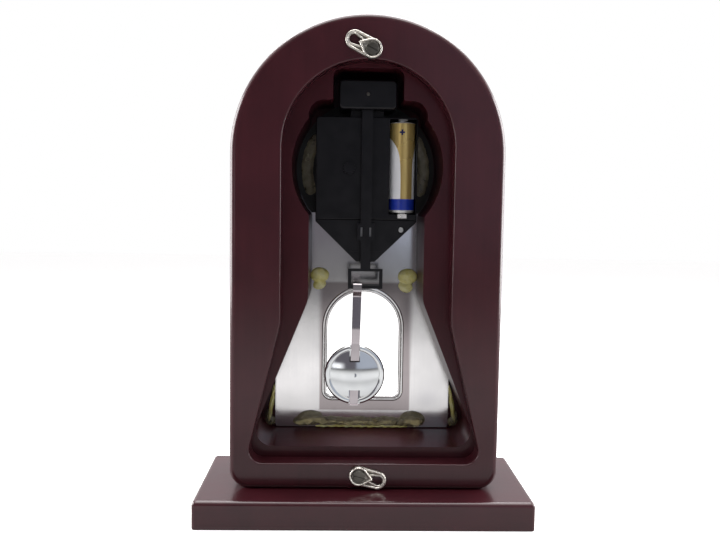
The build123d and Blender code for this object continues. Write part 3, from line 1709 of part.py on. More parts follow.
# The rear dome is notched above and below, where the strip passes outside it
with BuildPart() as bob_back_shell:
    with BuildSketch(bob_plane):
        add(dome_outline(1))
    revolve(axis=bob_axis)
    with BuildSketch(rod_plane):
        with Locations((0, -rod_length)):
            Rectangle(strip_thickness, 2 * (bob_radius + notch_overrun))
    extrude(amount=strip_width / 2 + strip_slot_gap, both=True, mode=Mode.SUBTRACT)
    with BuildSketch(facing(pendulum_y)):
        with Locations((bob_offset, bob_z + top_notch_radius)):
            Rectangle(
                top_notch_width,
                bob_radius + notch_overrun - top_notch_radius,
                align=(Align.CENTER, Align.MIN),
            )
        with Locations((bob_offset, bob_z - foot_notch_radius)):
            Rectangle(
                foot_notch_width,
                bob_radius + notch_overrun - foot_notch_radius,
                align=(Align.CENTER, Align.MAX),
            )
    extrude(amount=-bob_dome_height - notch_overrun, mode=Mode.SUBTRACT)
bob_back_shell.part.label = "bob_back_shell"
export_step(bob_back_shell.part, "parts/bob_back_shell.step")

# Turn-button above the rebate: a cast loop with a raised rim and a dished boss
upper_plane = button_plane(upper_button_x, upper_button_z, upper_button_bearing_deg)
lower_plane = button_plane(lower_button_x, lower_button_z, lower_button_bearing_deg)
with BuildPart() as upper_turn_button:
    with BuildSketch(upper_plane):
        add(button_outline(0))
        add(button_window_outline(0), mode=Mode.SUBTRACT)
    extrude(amount=button_thickness)
    with BuildSketch(upper_plane.offset(button_thickness)):
        add(button_outline(0))
        add(button_outline(button_rim_width), mode=Mode.SUBTRACT)
    extrude(amount=button_rim_height)
    with BuildSketch(upper_plane.offset(button_thickness)):
        add(button_window_outline(button_lip_width))
        add(button_window_outline(0), mode=Mode.SUBTRACT)
    extrude(amount=button_lip_height)
    with BuildSketch(upper_plane.offset(button_thickness)):
        add(
            tapered_outline(
                0,
                button_boss_radius,
                button_boss_point_reach,
                button_boss_point_radius,
            )
        )
    extrude(amount=button_boss_height)
    fillet(upper_turn_button.faces().sort_by(Axis.Y)[-1].edges(), button_edge_radius)
    with BuildSketch(upper_plane.offset(button_thickness + button_boss_height)):
        add(
            tapered_outline(
                0,
                button_boss_radius - button_boss_wall,
                button_boss_point_reach - button_boss_wall,
                button_boss_point_radius / 2,
            )
        )
    extrude(amount=-button_dish_depth, mode=Mode.SUBTRACT)
    with BuildSketch(upper_plane):
        Circle(button_screw_radius + button_screw_gap)
    extrude(amount=button_thickness + button_boss_height, mode=Mode.SUBTRACT)
upper_turn_button.part.label = "upper_turn_button"
export_step(upper_turn_button.part, "parts/upper_turn_button.step")

# Turn-button below the rebate, a second casting of the same shape
to_lower = lower_plane.location * upper_plane.location.inverse()
with BuildPart() as lower_turn_button:
    add(upper_turn_button.part.moved(to_lower))
lower_turn_button.part.label = "lower_turn_button"
export_step(lower_turn_button.part, "parts/lower_turn_button.step")

# Pan-head screw that the upper turn-button turns on
head_lift = button_thickness + button_boss_height - button_dish_depth + button_screw_gap
with BuildPart() as upper_turn_screw:
    with BuildSketch(upper_plane.offset(head_lift)):
        Circle(button_screw_head_radius)
    extrude(amount=button_screw_head_height)
    fillet(upper_turn_screw.faces().sort_by(Axis.Y)[-1].edges(), button_screw_head_height / 2)
    with BuildSketch(upper_plane.offset(head_lift + button_screw_head_height)):
        Rectangle(2 * button_screw_head_radius, screw_slot_width)
    extrude(amount=-screw_slot_depth, mode=Mode.SUBTRACT)
    with BuildSketch(upper_plane.offset(head_lift)):
        Circle(button_screw_radius)
    extrude(amount=-button_screw_length)
upper_turn_screw.part.label = "upper_turn_screw"
export_step(upper_turn_screw.part, "parts/upper_turn_screw.step")

# Screw of the lower turn-button
with BuildPart() as lower_turn_screw:
    add(upper_turn_screw.part.moved(to_lower))
lower_turn_screw.part.label = "lower_turn_screw"
export_step(lower_turn_screw.part, "parts/lower_turn_screw.step")
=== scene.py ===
"""Desk pendulum clock seen from its open back: finishes, small added pieces, floor, light and camera."""

import json
import math

import bmesh
import bpy
import numpy
from mathutils import Matrix, Vector, noise


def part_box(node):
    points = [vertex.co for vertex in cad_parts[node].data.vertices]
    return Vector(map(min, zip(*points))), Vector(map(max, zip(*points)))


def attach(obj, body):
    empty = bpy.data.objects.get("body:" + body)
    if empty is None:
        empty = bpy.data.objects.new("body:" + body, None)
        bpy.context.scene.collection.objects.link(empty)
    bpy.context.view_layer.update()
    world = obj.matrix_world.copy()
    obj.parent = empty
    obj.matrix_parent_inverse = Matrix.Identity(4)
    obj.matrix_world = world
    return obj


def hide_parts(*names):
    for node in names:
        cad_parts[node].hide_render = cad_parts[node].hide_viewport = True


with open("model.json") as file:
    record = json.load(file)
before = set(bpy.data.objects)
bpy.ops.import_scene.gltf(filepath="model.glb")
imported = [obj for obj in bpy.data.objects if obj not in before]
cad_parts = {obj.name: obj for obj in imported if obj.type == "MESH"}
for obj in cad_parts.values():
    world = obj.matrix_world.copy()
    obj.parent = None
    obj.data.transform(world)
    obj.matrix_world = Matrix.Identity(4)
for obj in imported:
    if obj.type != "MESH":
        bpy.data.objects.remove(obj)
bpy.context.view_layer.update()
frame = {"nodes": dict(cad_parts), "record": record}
nodes = frame["nodes"]
scene = bpy.context.scene
scene.view_settings.view_transform = "Standard"

MM = 0.001
DIAL_MIDDLE = 185.0  # z of the dial's middle, in mm
CASE_BACK = 19.4  # y of the case's back, in mm
REAR_FACE = -28.7 * MM  # y of the panel's rear face, which is also where the glue on the dark board lies


# Shader nodes

def feed(tree, node, values):
    """Gives a node's inputs, by name or number, their values or links."""
    for key, value in values.items():
        if isinstance(value, bpy.types.NodeSocket):
            tree.links.new(value, node.inputs[key])
        else:
            node.inputs[key].default_value = value
    return node


def put(tree, kind, sockets=None, **settings):
    """Adds a node with its settings, and with values or links for its inputs."""
    node = tree.nodes.new(kind)
    for name, value in settings.items():
        setattr(node, name, value)
    return feed(tree, node, sockets or {})


def sums(tree, operation, first, second=0.0, third=0.0):
    """A math node's result."""
    return put(tree, "ShaderNodeMath", {0: first, 1: second, 2: third}, operation=operation).outputs[0]


def blend_colours(tree, share, first, second, mode="MIX"):
    """A mix of two colours: the first where the share is 0, the second where it is 1."""
    sockets = {0: share, 6: first, 7: second}
    return put(tree, "ShaderNodeMix", sockets, data_type="RGBA", blend_type=mode).outputs[2]


def tinted(tree, base, tint):
    """A colour multiplied by another."""
    return blend_colours(tree, 1.0, base, tint, "MULTIPLY")


def spread(tree, value, low, high, to_low=0.0, to_high=1.0, smooth=False):
    """A value carried from one range to another, and held at its ends."""
    return put(
        tree,
        "ShaderNodeMapRange",
        {"Value": value, "From Min": low, "From Max": high, "To Min": to_low, "To Max": to_high},
        interpolation_type="SMOOTHSTEP" if smooth else "LINEAR",
    ).outputs["Result"]


def coordinates_of(tree):
    """The point on the piece, in the row frame."""
    return put(tree, "ShaderNodeTexCoord").outputs["Object"]


def place_of(tree):
    """The point on the piece, in the row frame, as x, y and z."""
    return tuple(put(tree, "ShaderNodeSeparateXYZ", {0: coordinates_of(tree)}).outputs)


def colour(red, green, blue):
    """A solid colour as a socket takes it."""
    return (red, green, blue, 1.0)


def new_group(name, inputs, outputs):
    """An empty shader group with its inputs and outputs, and the nodes that stand for them."""
    tree = bpy.data.node_groups.new(name, "ShaderNodeTree")
    for label, kind, value in inputs:
        socket = tree.interface.new_socket(label, in_out="INPUT", socket_type=kind)
        socket.default_value = value
    for label, kind in outputs:
        tree.interface.new_socket(label, in_out="OUTPUT", socket_type=kind)
    return tree, tree.nodes.new("NodeGroupInput"), tree.nodes.new("NodeGroupOutput")


def mottle_group():
    """Slow drifts of colour and roughness with a fine uneven surface, which most finishes share."""
    tree, given, result = new_group(
        "uneven finish",
        [
            ("First Colour", "NodeSocketColor", colour(0.5, 0.5, 0.5)),
            ("Second Colour", "NodeSocketColor", colour(0.5, 0.5, 0.5)),
            ("Patches per Metre", "NodeSocketFloat", 60.0),
            ("Low Roughness", "NodeSocketFloat", 0.3),
            ("High Roughness", "NodeSocketFloat", 0.4),
            ("Ripples per Metre", "NodeSocketFloat", 900.0),
        ],
        [("Colour", "NodeSocketColor"), ("Roughness", "NodeSocketFloat"), ("Height", "NodeSocketFloat")],
    )
    asked = given.outputs
    coordinates = coordinates_of(tree)
    patches, ripples = [
        put(tree, "ShaderNodeTexNoise", {"Vector": coordinates, "Scale": scale, "Detail": detail}).outputs[0]
        for scale, detail in ((asked["Patches per Metre"], 4.0), (asked["Ripples per Metre"], 2.0))
    ]
    share = spread(tree, patches, 0.35, 0.65)
    feed(
        tree,
        result,
        {
            "Colour": blend_colours(tree, share, asked["First Colour"], asked["Second Colour"]),
            "Roughness": spread(tree, patches, 0.3, 0.7, asked["Low Roughness"], asked["High Roughness"]),
            "Height": ripples,
        },
    )
    return tree


def streak_group():
    """Fine lines drawn out along one direction, as rolled sheet and wood grain have."""
    tree, given, result = new_group(
        "drawn lines",
        [
            ("Stretch", "NodeSocketVector", (1.0, 1.0, 0.05)),
            ("Lines per Metre", "NodeSocketFloat", 600.0),
            ("Contrast", "NodeSocketFloat", 0.5),
        ],
        [("Share", "NodeSocketFloat")],
    )
    asked = given.outputs
    drawn = put(
        tree, "ShaderNodeMapping", {"Vector": coordinates_of(tree), "Scale": asked["Stretch"]}
    ).outputs[0]
    lines = put(
        tree,
        "ShaderNodeTexNoise",
        {"Vector": drawn, "Scale": asked["Lines per Metre"], "Detail": 5.0, "Roughness": 0.6},
    ).outputs[0]
    share = sums(tree, "MULTIPLY_ADD", sums(tree, "SUBTRACT", lines, 0.5), asked["Contrast"], 0.5)
    feed(tree, result, {"Share": put(tree, "ShaderNodeClamp", {"Value": share}).outputs[0]})
    return tree


MOTTLE = mottle_group()
STREAKS = streak_group()


def grouped(tree, group, values):
    """Places a shared group in a material, with values or links for its inputs."""
    return put(tree, "ShaderNodeGroup", values, node_tree=group)


def drawn_lines(tree, stretch, lines, contrast):
    """Places drawn lines; their share is 0 in the darkest and 1 in the palest."""
    values = {"Stretch": stretch, "Lines per Metre": lines, "Contrast": contrast}
    return grouped(tree, STREAKS, values).outputs["Share"]


def mottled(tree, first, second, rough, patches, ripples):
    """Places the uneven finish between two colours and two roughnesses."""
    return grouped(
        tree,
        MOTTLE,
        {
            "First Colour": first,
            "Second Colour": second,
            "Patches per Metre": patches,
            "Low Roughness": rough[0],
            "High Roughness": rough[1],
            "Ripples per Metre": ripples,
        },
    ).outputs


def raised(tree, height, depth):
    """A normal from a height that is depth metres from low to high."""
    return put(tree, "ShaderNodeBump", {"Height": height, "Distance": depth, "Strength": 1.0}).outputs[0]


def new_finish(name, **values):
    """A new material, its tree and its main shader, with plain values set on the shader's own sockets."""
    material = bpy.data.materials.new(name)
    material.use_nodes = True
    tree = material.node_tree
    shader = tree.nodes["Principled BSDF"]
    for label, value in values.items():
        shader.inputs[label.replace("_", " ")].default_value = value
    return material, tree, shader


def dress(tree, shader, base, rough, height, depth):
    """Links a shader's colour and roughness, and its normal from a height."""
    feed(tree, shader, {"Base Color": base, "Roughness": rough, "Normal": raised(tree, height, depth)})


# Finishes

def uneven(name, first, second, rough=(0.3, 0.4), patches=60.0, ripples=900.0, depth=0.01 * MM, **values):
    """A finish of two close colours with an uneven surface."""
    material, tree, shader = new_finish(name, **values)
    mottle = mottled(tree, first, second, rough, patches, ripples)
    dress(tree, shader, mottle["Colour"], mottle["Roughness"], mottle["Height"], depth)
    return material


def bright_plate(name, first, second, rough, ripples=500.0, depth=0.004 * MM):
    """Bare or plated metal."""
    return uneven(name, first, second, rough, patches=120.0, ripples=ripples, depth=depth, Metallic=1.0)


LACQUER_THINS = (6 * MM, 14 * MM)  # y between which the case's lacquer thins towards the inside


def lacquered_wood(name, stretch, coat, coat_inside=None):
    """Dark mahogany stain with a faint grain under satin lacquer, which may be thinner inside the case."""
    material, tree, shader = new_finish(
        name, Specular_IOR_Level=0.1, Coat_Weight=coat, Coat_Roughness=0.18, Coat_IOR=1.5
    )
    if coat_inside is not None:
        y = place_of(tree)[1]
        thinned = spread(tree, y, *LACQUER_THINS, coat_inside, coat, smooth=True)
        feed(tree, shader, {"Coat Weight": thinned})
    grain = drawn_lines(tree, stretch, lines=260.0, contrast=1.6)
    mottle = mottled(
        tree, colour(0.038, 0.0056, 0.0092), colour(0.047, 0.0066, 0.0110),
        rough=(0.42, 0.5), patches=45.0, ripples=700.0,
    )
    dark = tinted(tree, mottle["Colour"], colour(0.78, 0.74, 0.76))
    stained = blend_colours(tree, grain, dark, mottle["Colour"])
    dress(tree, shader, stained, mottle["Roughness"], mottle["Height"], 0.012 * MM)
    return material


# Painted dark reflection spots on the panel: x, z, half width and half height in mm, and the share of light
# that each leaves.
PAINTED_REFLECTION_SPOTS = (
    (-25.5, 104.0, 4.0, 14.0, 0.66),
    (22.0, 113.0, 9.0, 6.0, 0.78),
    (-8.0, 118.0, 16.0, 5.0, 0.75),
    (-38.0, 52.0, 7.0, 6.0, 0.85),
)


def panel_metal():
    """Bright rolled sheet: nearly a mirror, with a painted darker, pinkish reflection round the window and a
    few painted dark reflection spots.
    """
    material, tree, shader = new_finish("bright panel sheet", Metallic=1.0)
    x, _, z = place_of(tree)
    rolled = drawn_lines(tree, (1.0, 1.0, 0.02), lines=900.0, contrast=1.2)
    mottle = mottled(
        tree, colour(0.96, 0.945, 0.935), colour(0.89, 0.88, 0.87),
        rough=(0.1, 0.17), patches=40.0, ripples=250.0,
    )

    # A painted reflection: the sheet is tinted darker and pinkish round the window, with soft sides above and
    # sharp sides below.
    band_middle, band_half = -1.4 * MM, 26.4 * MM
    soft = spread(tree, z, 60 * MM, 100 * MM, 0.6 * MM, 2.2 * MM)
    aside = sums(tree, "ABSOLUTE", sums(tree, "SUBTRACT", x, band_middle))
    inner, outer = sums(tree, "SUBTRACT", band_half, soft), sums(tree, "ADD", band_half, soft)
    within = spread(tree, aside, inner, outer, 1.0, 0.0, smooth=True)
    below = spread(tree, z, 119.5 * MM, 121.5 * MM, 1.0, 0.0, smooth=True)
    above = spread(tree, z, 44.6 * MM, 45.6 * MM, smooth=True)
    painted_reflection_band = sums(tree, "MULTIPLY", sums(tree, "MULTIPLY", within, below), above)
    reflection_tone = tinted(tree, mottle["Colour"], colour(0.50, 0.455, 0.46))
    shaded = blend_colours(tree, painted_reflection_band, mottle["Colour"], reflection_tone)

    # Each spot paints a soft dark reflection onto the sheet's colour.
    for centre_x, centre_z, half_x, half_z, left in PAINTED_REFLECTION_SPOTS:
        off_x = sums(tree, "DIVIDE", sums(tree, "SUBTRACT", x, centre_x * MM), half_x * MM)
        off_z = sums(tree, "DIVIDE", sums(tree, "SUBTRACT", z, centre_z * MM), half_z * MM)
        away = sums(tree, "MULTIPLY_ADD", off_x, off_x, sums(tree, "MULTIPLY", off_z, off_z))
        painted_spot = sums(tree, "EXPONENT", sums(tree, "MULTIPLY", away, -1.0))
        spot_shaded = tinted(tree, shaded, colour(left, left, left * 1.02))
        shaded = blend_colours(tree, painted_spot, shaded, spot_shaded)

    # A painted faint blue reflection above the painted reflection round the window, on the camera's right.
    on_right = spread(tree, x, -1 * MM, -12 * MM, smooth=True)
    over_band = spread(tree, z, 121 * MM, 127 * MM, smooth=True)
    painted_blue_reflection = sums(tree, "MULTIPLY", sums(tree, "MULTIPLY", on_right, over_band), 0.8)
    shaded = blend_colours(tree, painted_blue_reflection, shaded, tinted(tree, shaded, colour(0.94, 0.97, 1.0)))

    base = blend_colours(tree, rolled, tinted(tree, shaded, colour(0.94, 0.94, 0.95)), shaded)
    dress(tree, shader, base, mottle["Roughness"], mottle["Height"], 0.008 * MM)
    return material


def battery_wrap():
    """A cell's printed wrap: gold above, a white sweep that narrows the gold, a blue foot and a plus mark."""
    material, tree, shader = new_finish("printed cell wrap")
    low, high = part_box("battery")
    axis_x, axis_y = (low.x + high.x) / 2, (low.y + high.y) / 2
    x, y, z = place_of(tree)
    turn = sums(tree, "ARCTAN2", sums(tree, "SUBTRACT", x, axis_x), sums(tree, "SUBTRACT", y, axis_y))

    # The gold's two edges, in radians from the open side; drop is 0 at the shoulder and 1 at the blue foot.
    drop = spread(tree, z, high.z - 8.5 * MM, low.z + 11 * MM)
    narrowing = sums(tree, "EXPONENT", sums(tree, "MULTIPLY", drop, -6.5))
    left_edge = sums(tree, "MULTIPLY_ADD", narrowing, 1.35, 0.15)
    right_edge = spread(tree, drop, 0.0, 0.5, 1.35, 0.82, smooth=True)
    blur = 0.015
    left_white = spread(tree, sums(tree, "SUBTRACT", turn, left_edge), -blur, blur)
    back_turn = sums(tree, "MULTIPLY", turn, -1.0)
    right_white = spread(tree, sums(tree, "SUBTRACT", back_turn, right_edge), -blur, blur)
    white = sums(tree, "MAXIMUM", left_white, right_white)
    foil = drawn_lines(tree, (1.0, 1.0, 0.01), lines=500.0, contrast=1.5)
    gold = blend_colours(tree, foil, colour(0.50, 0.35, 0.11), colour(0.74, 0.56, 0.22))
    printed = blend_colours(tree, white, gold, colour(0.72, 0.73, 0.76))

    # The blue foot, and bare metal at both ends.
    blue = spread(tree, z, low.z + 7.8 * MM, low.z + 7.6 * MM)
    printed = blend_colours(tree, blue, printed, colour(0.01, 0.03, 0.30))
    foot = spread(tree, z, low.z + 1.7 * MM, low.z + 1.5 * MM)
    crown = spread(tree, z, high.z - 1.8 * MM, high.z - 1.6 * MM)
    bare = sums(tree, "MAXIMUM", foot, crown)
    printed = blend_colours(tree, bare, printed, colour(0.7, 0.7, 0.7))

    # The plus mark on the open side, of two bars.
    across = sums(tree, "ABSOLUTE", sums(tree, "SUBTRACT", x, axis_x + 0.6 * MM))
    along = sums(tree, "ABSOLUTE", sums(tree, "SUBTRACT", z, high.z - 6.6 * MM))
    long_half, thin_half = 1.5 * MM, 0.5 * MM
    bars = [
        sums(tree, "MULTIPLY", sums(tree, "LESS_THAN", across, wide), sums(tree, "LESS_THAN", along, tall))
        for wide, tall in ((long_half, thin_half), (thin_half, long_half))
    ]
    plus = sums(tree, "MULTIPLY", sums(tree, "MAXIMUM", *bars), sums(tree, "GREATER_THAN", y, axis_y))
    printed = blend_colours(tree, plus, printed, colour(0.01, 0.012, 0.07))

    inked = sums(tree, "MAXIMUM", sums(tree, "MAXIMUM", white, blue), plus)
    metal = sums(tree, "MAXIMUM", sums(tree, "SUBTRACT", 1.0, inked), bare)
    feed(tree, shader, {"Metallic": spread(tree, metal, 0.0, 1.0, 0.0, 0.6)})
    mottle = grouped(
        tree, MOTTLE, {"Low Roughness": 0.2, "High Roughness": 0.3, "Ripples per Metre": 400.0}
    ).outputs
    dress(tree, shader, printed, mottle["Roughness"], mottle["Height"], 0.006 * MM)
    return material


def hot_glue(name, clear, first, second):
    """Hot-melt glue: see-through, clouded and glossy."""
    material, tree, shader = new_finish(name, Transmission_Weight=clear, IOR=1.42)
    clouds = put(
        tree, "ShaderNodeTexNoise", {"Vector": coordinates_of(tree), "Scale": 260.0, "Detail": 3.0}
    ).outputs[0]
    base = blend_colours(tree, spread(tree, clouds, 0.35, 0.65), first, second)
    dress(tree, shader, base, spread(tree, clouds, 0.3, 0.7, 0.08, 0.24), clouds, 0.1 * MM)
    return material


def clear_glass():
    """The dial's glass, which is faintly tinted and hardly uneven."""
    material, tree, shader = new_finish("clear dial glass", Roughness=0.02, IOR=1.5, Transmission_Weight=1.0)
    smear = grouped(tree, MOTTLE, {"Ripples per Metre": 40.0}).outputs["Height"]
    tint = blend_colours(tree, smear, colour(0.93, 0.96, 0.95), colour(0.97, 0.98, 0.98))
    feed(tree, shader, {"Base Color": tint, "Normal": raised(tree, smear, 0.002 * MM)})
    return material


def cast_finish():
    """Bright ridges over dull hollows darkened with painted shade, from the darkness value that each
    casting's mesh keeps.
    """
    material, tree, shader = new_finish("cast nickel with painted hollow shade", Metallic=1.0)
    mottle = mottled(
        tree, colour(0.80, 0.76, 0.69), colour(0.66, 0.62, 0.55),
        rough=(0.2, 0.34), patches=500.0, ripples=2200.0,
    )
    hollow_shade = put(tree, "ShaderNodeAttribute", attribute_name="recess").outputs["Fac"]
    # Painted shade: the casting's hollows and underside are darkened in its colour.
    dark = spread(tree, hollow_shade, 0.15, 0.95, 0.0, 0.88)
    base = blend_colours(tree, dark, mottle["Colour"], colour(0.12, 0.11, 0.09))
    dull = sums(tree, "MULTIPLY_ADD", hollow_shade, 0.25, mottle["Roughness"])
    dress(tree, shader, base, dull, mottle["Height"], 0.05 * MM)
    return material


finishes = {
    "lacquered_wood": lacquered_wood(
        "mahogany lacquer, upright grain", (1.0, 1.0, 0.06), coat=0.8, coat_inside=0.25
    ),
    "panel_metal": panel_metal(),
    "black_plastic": uneven(
        "black moulded plastic", colour(0.0030, 0.0028, 0.0042), colour(0.0050, 0.0046, 0.0064),
        rough=(0.28, 0.4), patches=140.0, ripples=2600.0, depth=0.006 * MM, Specular_IOR_Level=0.3,
    ),
    # A plain metal strip, darker than the bob's plate.
    "rod_strip": uneven(
        "darker rod strip", colour(0.57, 0.525, 0.54), colour(0.50, 0.46, 0.475),
        rough=(0.14, 0.2), patches=90.0, ripples=300.0, depth=0.004 * MM, Metallic=1.0,
    ),
    "fibre_board": uneven(
        "dark fibre board", colour(0.006, 0.0058, 0.0052), colour(0.011, 0.0105, 0.0092),
        rough=(0.4, 0.6), patches=200.0, ripples=3000.0, depth=0.02 * MM,
    ),
    "hot_melt_glue": hot_glue(
        "amber hot-melt glue", clear=0.45, first=colour(0.86, 0.78, 0.27), second=colour(0.95, 0.92, 0.50)
    ),
    "aged_glue": hot_glue(
        "aged clear glue", clear=0.76, first=colour(0.50, 0.45, 0.31), second=colour(0.72, 0.67, 0.48)
    ),
    "zinc_steel": bright_plate("zinc plate", colour(0.62, 0.62, 0.6), colour(0.5, 0.5, 0.48), (0.25, 0.45)),
    "brass": bright_plate("polished brass", colour(0.78, 0.57, 0.25), colour(0.7, 0.48, 0.2), (0.12, 0.22)),
    "glass": clear_glass(),
    "dial_white": uneven("satin dial paint", colour(0.8, 0.78, 0.71), colour(0.76, 0.74, 0.67), (0.4, 0.5)),
    "rubber": uneven("washer rubber", colour(0.02, 0.02, 0.02), colour(0.03, 0.03, 0.03), (0.7, 0.85)),
    "contact_steel": uneven(
        "nickel plated spring", colour(0.92, 0.89, 0.85), colour(0.84, 0.81, 0.77),
        rough=(0.2, 0.35), patches=120.0, ripples=500.0, depth=0.004 * MM, Metallic=0.6,
    ),
    "board": uneven("board mask", colour(0.02, 0.09, 0.035), colour(0.03, 0.12, 0.05), (0.3, 0.5)),
    "white_plastic": uneven(
        "white acetal", colour(0.78, 0.78, 0.74), colour(0.72, 0.72, 0.68), (0.35, 0.5)
    ),
    "core_steel": bright_plate(
        "stamped core sheet", colour(0.4, 0.4, 0.4), colour(0.32, 0.32, 0.33), (0.35, 0.5)
    ),
    "copper": bright_plate(
        "enamelled winding", colour(0.55, 0.22, 0.09), colour(0.42, 0.16, 0.07), (0.25, 0.4),
        ripples=6000.0, depth=0.03 * MM,
    ),
    "magnet": bright_plate("plated magnet", colour(0.75, 0.75, 0.75), colour(0.62, 0.62, 0.63), (0.25, 0.4)),
    "hand_black": uneven("satin black hands", colour(0.01, 0.01, 0.011), colour(0.016, 0.016, 0.017)),
    "bob_metal": bright_plate(
        "pressed bright plate", colour(0.86, 0.88, 0.88), colour(0.8, 0.82, 0.83), (0.07, 0.13), ripples=220.0
    ),
    "battery_wrap": battery_wrap(),
    "cast_nickel": bright_plate(
        "cast nickel", colour(0.74, 0.7, 0.63), colour(0.5, 0.47, 0.41), (0.22, 0.42),
        ripples=1500.0, depth=0.08 * MM,
    ),
}
level_grain = lacquered_wood("mahogany lacquer, level grain", (0.06, 1.0, 1.0), coat=0.95)
ring_glue = hot_glue(
    "glue on the dark board", clear=0.66, first=colour(0.56, 0.50, 0.35), second=colour(0.78, 0.72, 0.52)
)
rim_metal = bright_plate("pressed rim", colour(0.86, 0.85, 0.84), colour(0.78, 0.77, 0.76), (0.08, 0.16))
old_steel = bright_plate(
    "darkened screw steel", colour(0.16, 0.15, 0.13), colour(0.08, 0.075, 0.065), (0.4, 0.6),
    ripples=1800.0, depth=0.06 * MM,
)
casting = cast_finish()

# Nodes whose finish isn't their slot's usual one.
special = {
    "base_board": level_grain,
    "pendulum_rod": finishes["rod_strip"],
    "drive_magnet": finishes["core_steel"],
    "arm_pivot_pin": old_steel,
    "upper_turn_screw": old_steel,
    "lower_turn_screw": old_steel,
}
slot_of = {part["node"]: part["material_slot"] for part in frame["record"]["subparts"]}
for name, piece in nodes.items():
    for slot in piece.material_slots:
        slot.material = special.get(name, finishes[slot_of[name]])


# Added pieces

def mesh_of(build, name, smooth=False):
    """The mesh of a finished build, with its faces turned outward. The build is used up."""
    bmesh.ops.recalc_face_normals(build, faces=build.faces)
    mesh = bpy.data.meshes.new(name)
    build.to_mesh(mesh)
    build.free()
    if smooth:
        mesh.polygons.foreach_set("use_smooth", [True] * len(mesh.polygons))
    return mesh


def keep(name, mesh, material, body, slot, *replaced):
    """Makes a piece of a finished mesh, with its finish, its body and the nodes that it stands for."""
    piece = bpy.data.objects.new(name, mesh)
    scene.collection.objects.link(piece)
    mesh.materials.clear()
    mesh.materials.append(material)
    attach(piece, body)
    if replaced:
        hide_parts(*replaced)


def shape_of(drawn):
    """The mesh that an object shows once its modifiers or its text are worked out."""
    graph = bpy.context.evaluated_depsgraph_get()
    return bpy.data.meshes.new_from_object(drawn.evaluated_get(graph), depsgraph=graph)


def prism(build, outline, low_y, high_y):
    """Adds a plate between two depths, with an outline of x and z in mm."""
    rings = [[build.verts.new((x * MM, y, z * MM)) for x, z in outline] for y in (low_y, high_y)]
    for ring in rings:
        build.faces.new(ring)
    for index in range(len(outline)):
        after = (index + 1) % len(outline)
        build.faces.new((rings[0][index], rings[0][after], rings[1][after], rings[1][index]))


GLUE_GRAIN = 0.25  # distance between the glue grid's places, in mm
GLUE_FLOW = 5.0  # how sharply lumps meet; a lower number runs them together more
GLUE_SKIRT = -1.2  # height down to which the glue's skin is built, before it is cut at its seat
GLUE_CEILING = 3.6  # height that no lump on the panel passes, in mm
GLUE_BUMPS = 0.42  # coarse bumps of the glue's skin to a mm, more or less
GLUE_COARSE, GLUE_FINE = 0.3, 0.1  # heights of the skin's coarse and fine bumps, in mm


def lump_height(balls, across, up):
    """How high squashed balls of glue stand over a grid of places once run together; below zero beside them.

    Each ball has x, z, half width, half height, how high it stands, and its lean in degrees.
    """
    total = numpy.full(across.shape, 1e-30)
    for x, z, half_x, half_z, height, turn in balls:
        lean = math.radians(turn)
        along = ((across - x) * math.cos(lean) + (up - z) * math.sin(lean)) / half_x
        aside = ((up - z) * math.cos(lean) - (across - x) * math.sin(lean)) / half_z
        inside = 1 - along**2 - aside**2
        dome = height * numpy.where(inside > 0, numpy.sqrt(numpy.maximum(inside, 0)), 0.8 * inside)
        total += numpy.exp(GLUE_FLOW * dome)
    return numpy.log(total) / GLUE_FLOW


def glue_skin(build, balls, ceiling, seed, unevenness):
    """Adds the uneven skin of one cluster of balls, which dips below the face that it lies on."""
    reach = max(max(ball[2], ball[3]) for ball in balls) + 1.0
    low_x, high_x = min(ball[0] for ball in balls) - reach, max(ball[0] for ball in balls) + reach
    low_z, high_z = min(ball[1] for ball in balls) - reach, max(ball[1] for ball in balls) + reach
    across, up = numpy.meshgrid(
        numpy.arange(low_x, high_x, GLUE_GRAIN), numpy.arange(low_z, high_z, GLUE_GRAIN), indexing="ij"
    )
    heights = lump_height(balls, across, up)
    grid = {}
    for place in zip(*numpy.nonzero(heights > GLUE_SKIRT)):
        x, z, height = across[place], up[place], heights[place]
        skin = Vector((x * GLUE_BUMPS + seed, z * GLUE_BUMPS, height * 0.3))
        height += unevenness * (GLUE_COARSE * noise.noise(skin) + GLUE_FINE * noise.noise(skin * 2.8))
        grid[place] = build.verts.new((x * MM, REAR_FACE + min(height, ceiling) * MM, z * MM))
    for column, row in grid:
        around = ((column, row), (column, row + 1), (column + 1, row + 1), (column + 1, row))
        corners = [grid.get(key) for key in around]
        if all(corners) and max(corner.co.y for corner in corners) > REAR_FACE:
            build.faces.new(corners)


def glue_lumps(name, clusters, material, seed, replaced=(), ceiling=GLUE_CEILING, unevenness=1.0):
    """Closed lumps of glue, which lie on the panel's or the board's rear face."""
    build = bmesh.new()
    for balls in clusters:
        glue_skin(build, balls, ceiling, seed, unevenness)
    whole = build.verts[:] + build.edges[:] + build.faces[:]
    seat = (0, REAR_FACE + 0.02 * MM, 0)
    bmesh.ops.bisect_plane(build, geom=whole, plane_co=seat, plane_no=(0, 1, 0), clear_inner=True)
    loose = [vertex for vertex in build.verts if not vertex.link_faces]
    bmesh.ops.delete(build, geom=loose, context="VERTS")
    bmesh.ops.holes_fill(build, edges=[edge for edge in build.edges if edge.is_boundary], sides=0)
    keep(name, mesh_of(build, name, smooth=True), material, "case", "hot_melt_glue", *replaced)


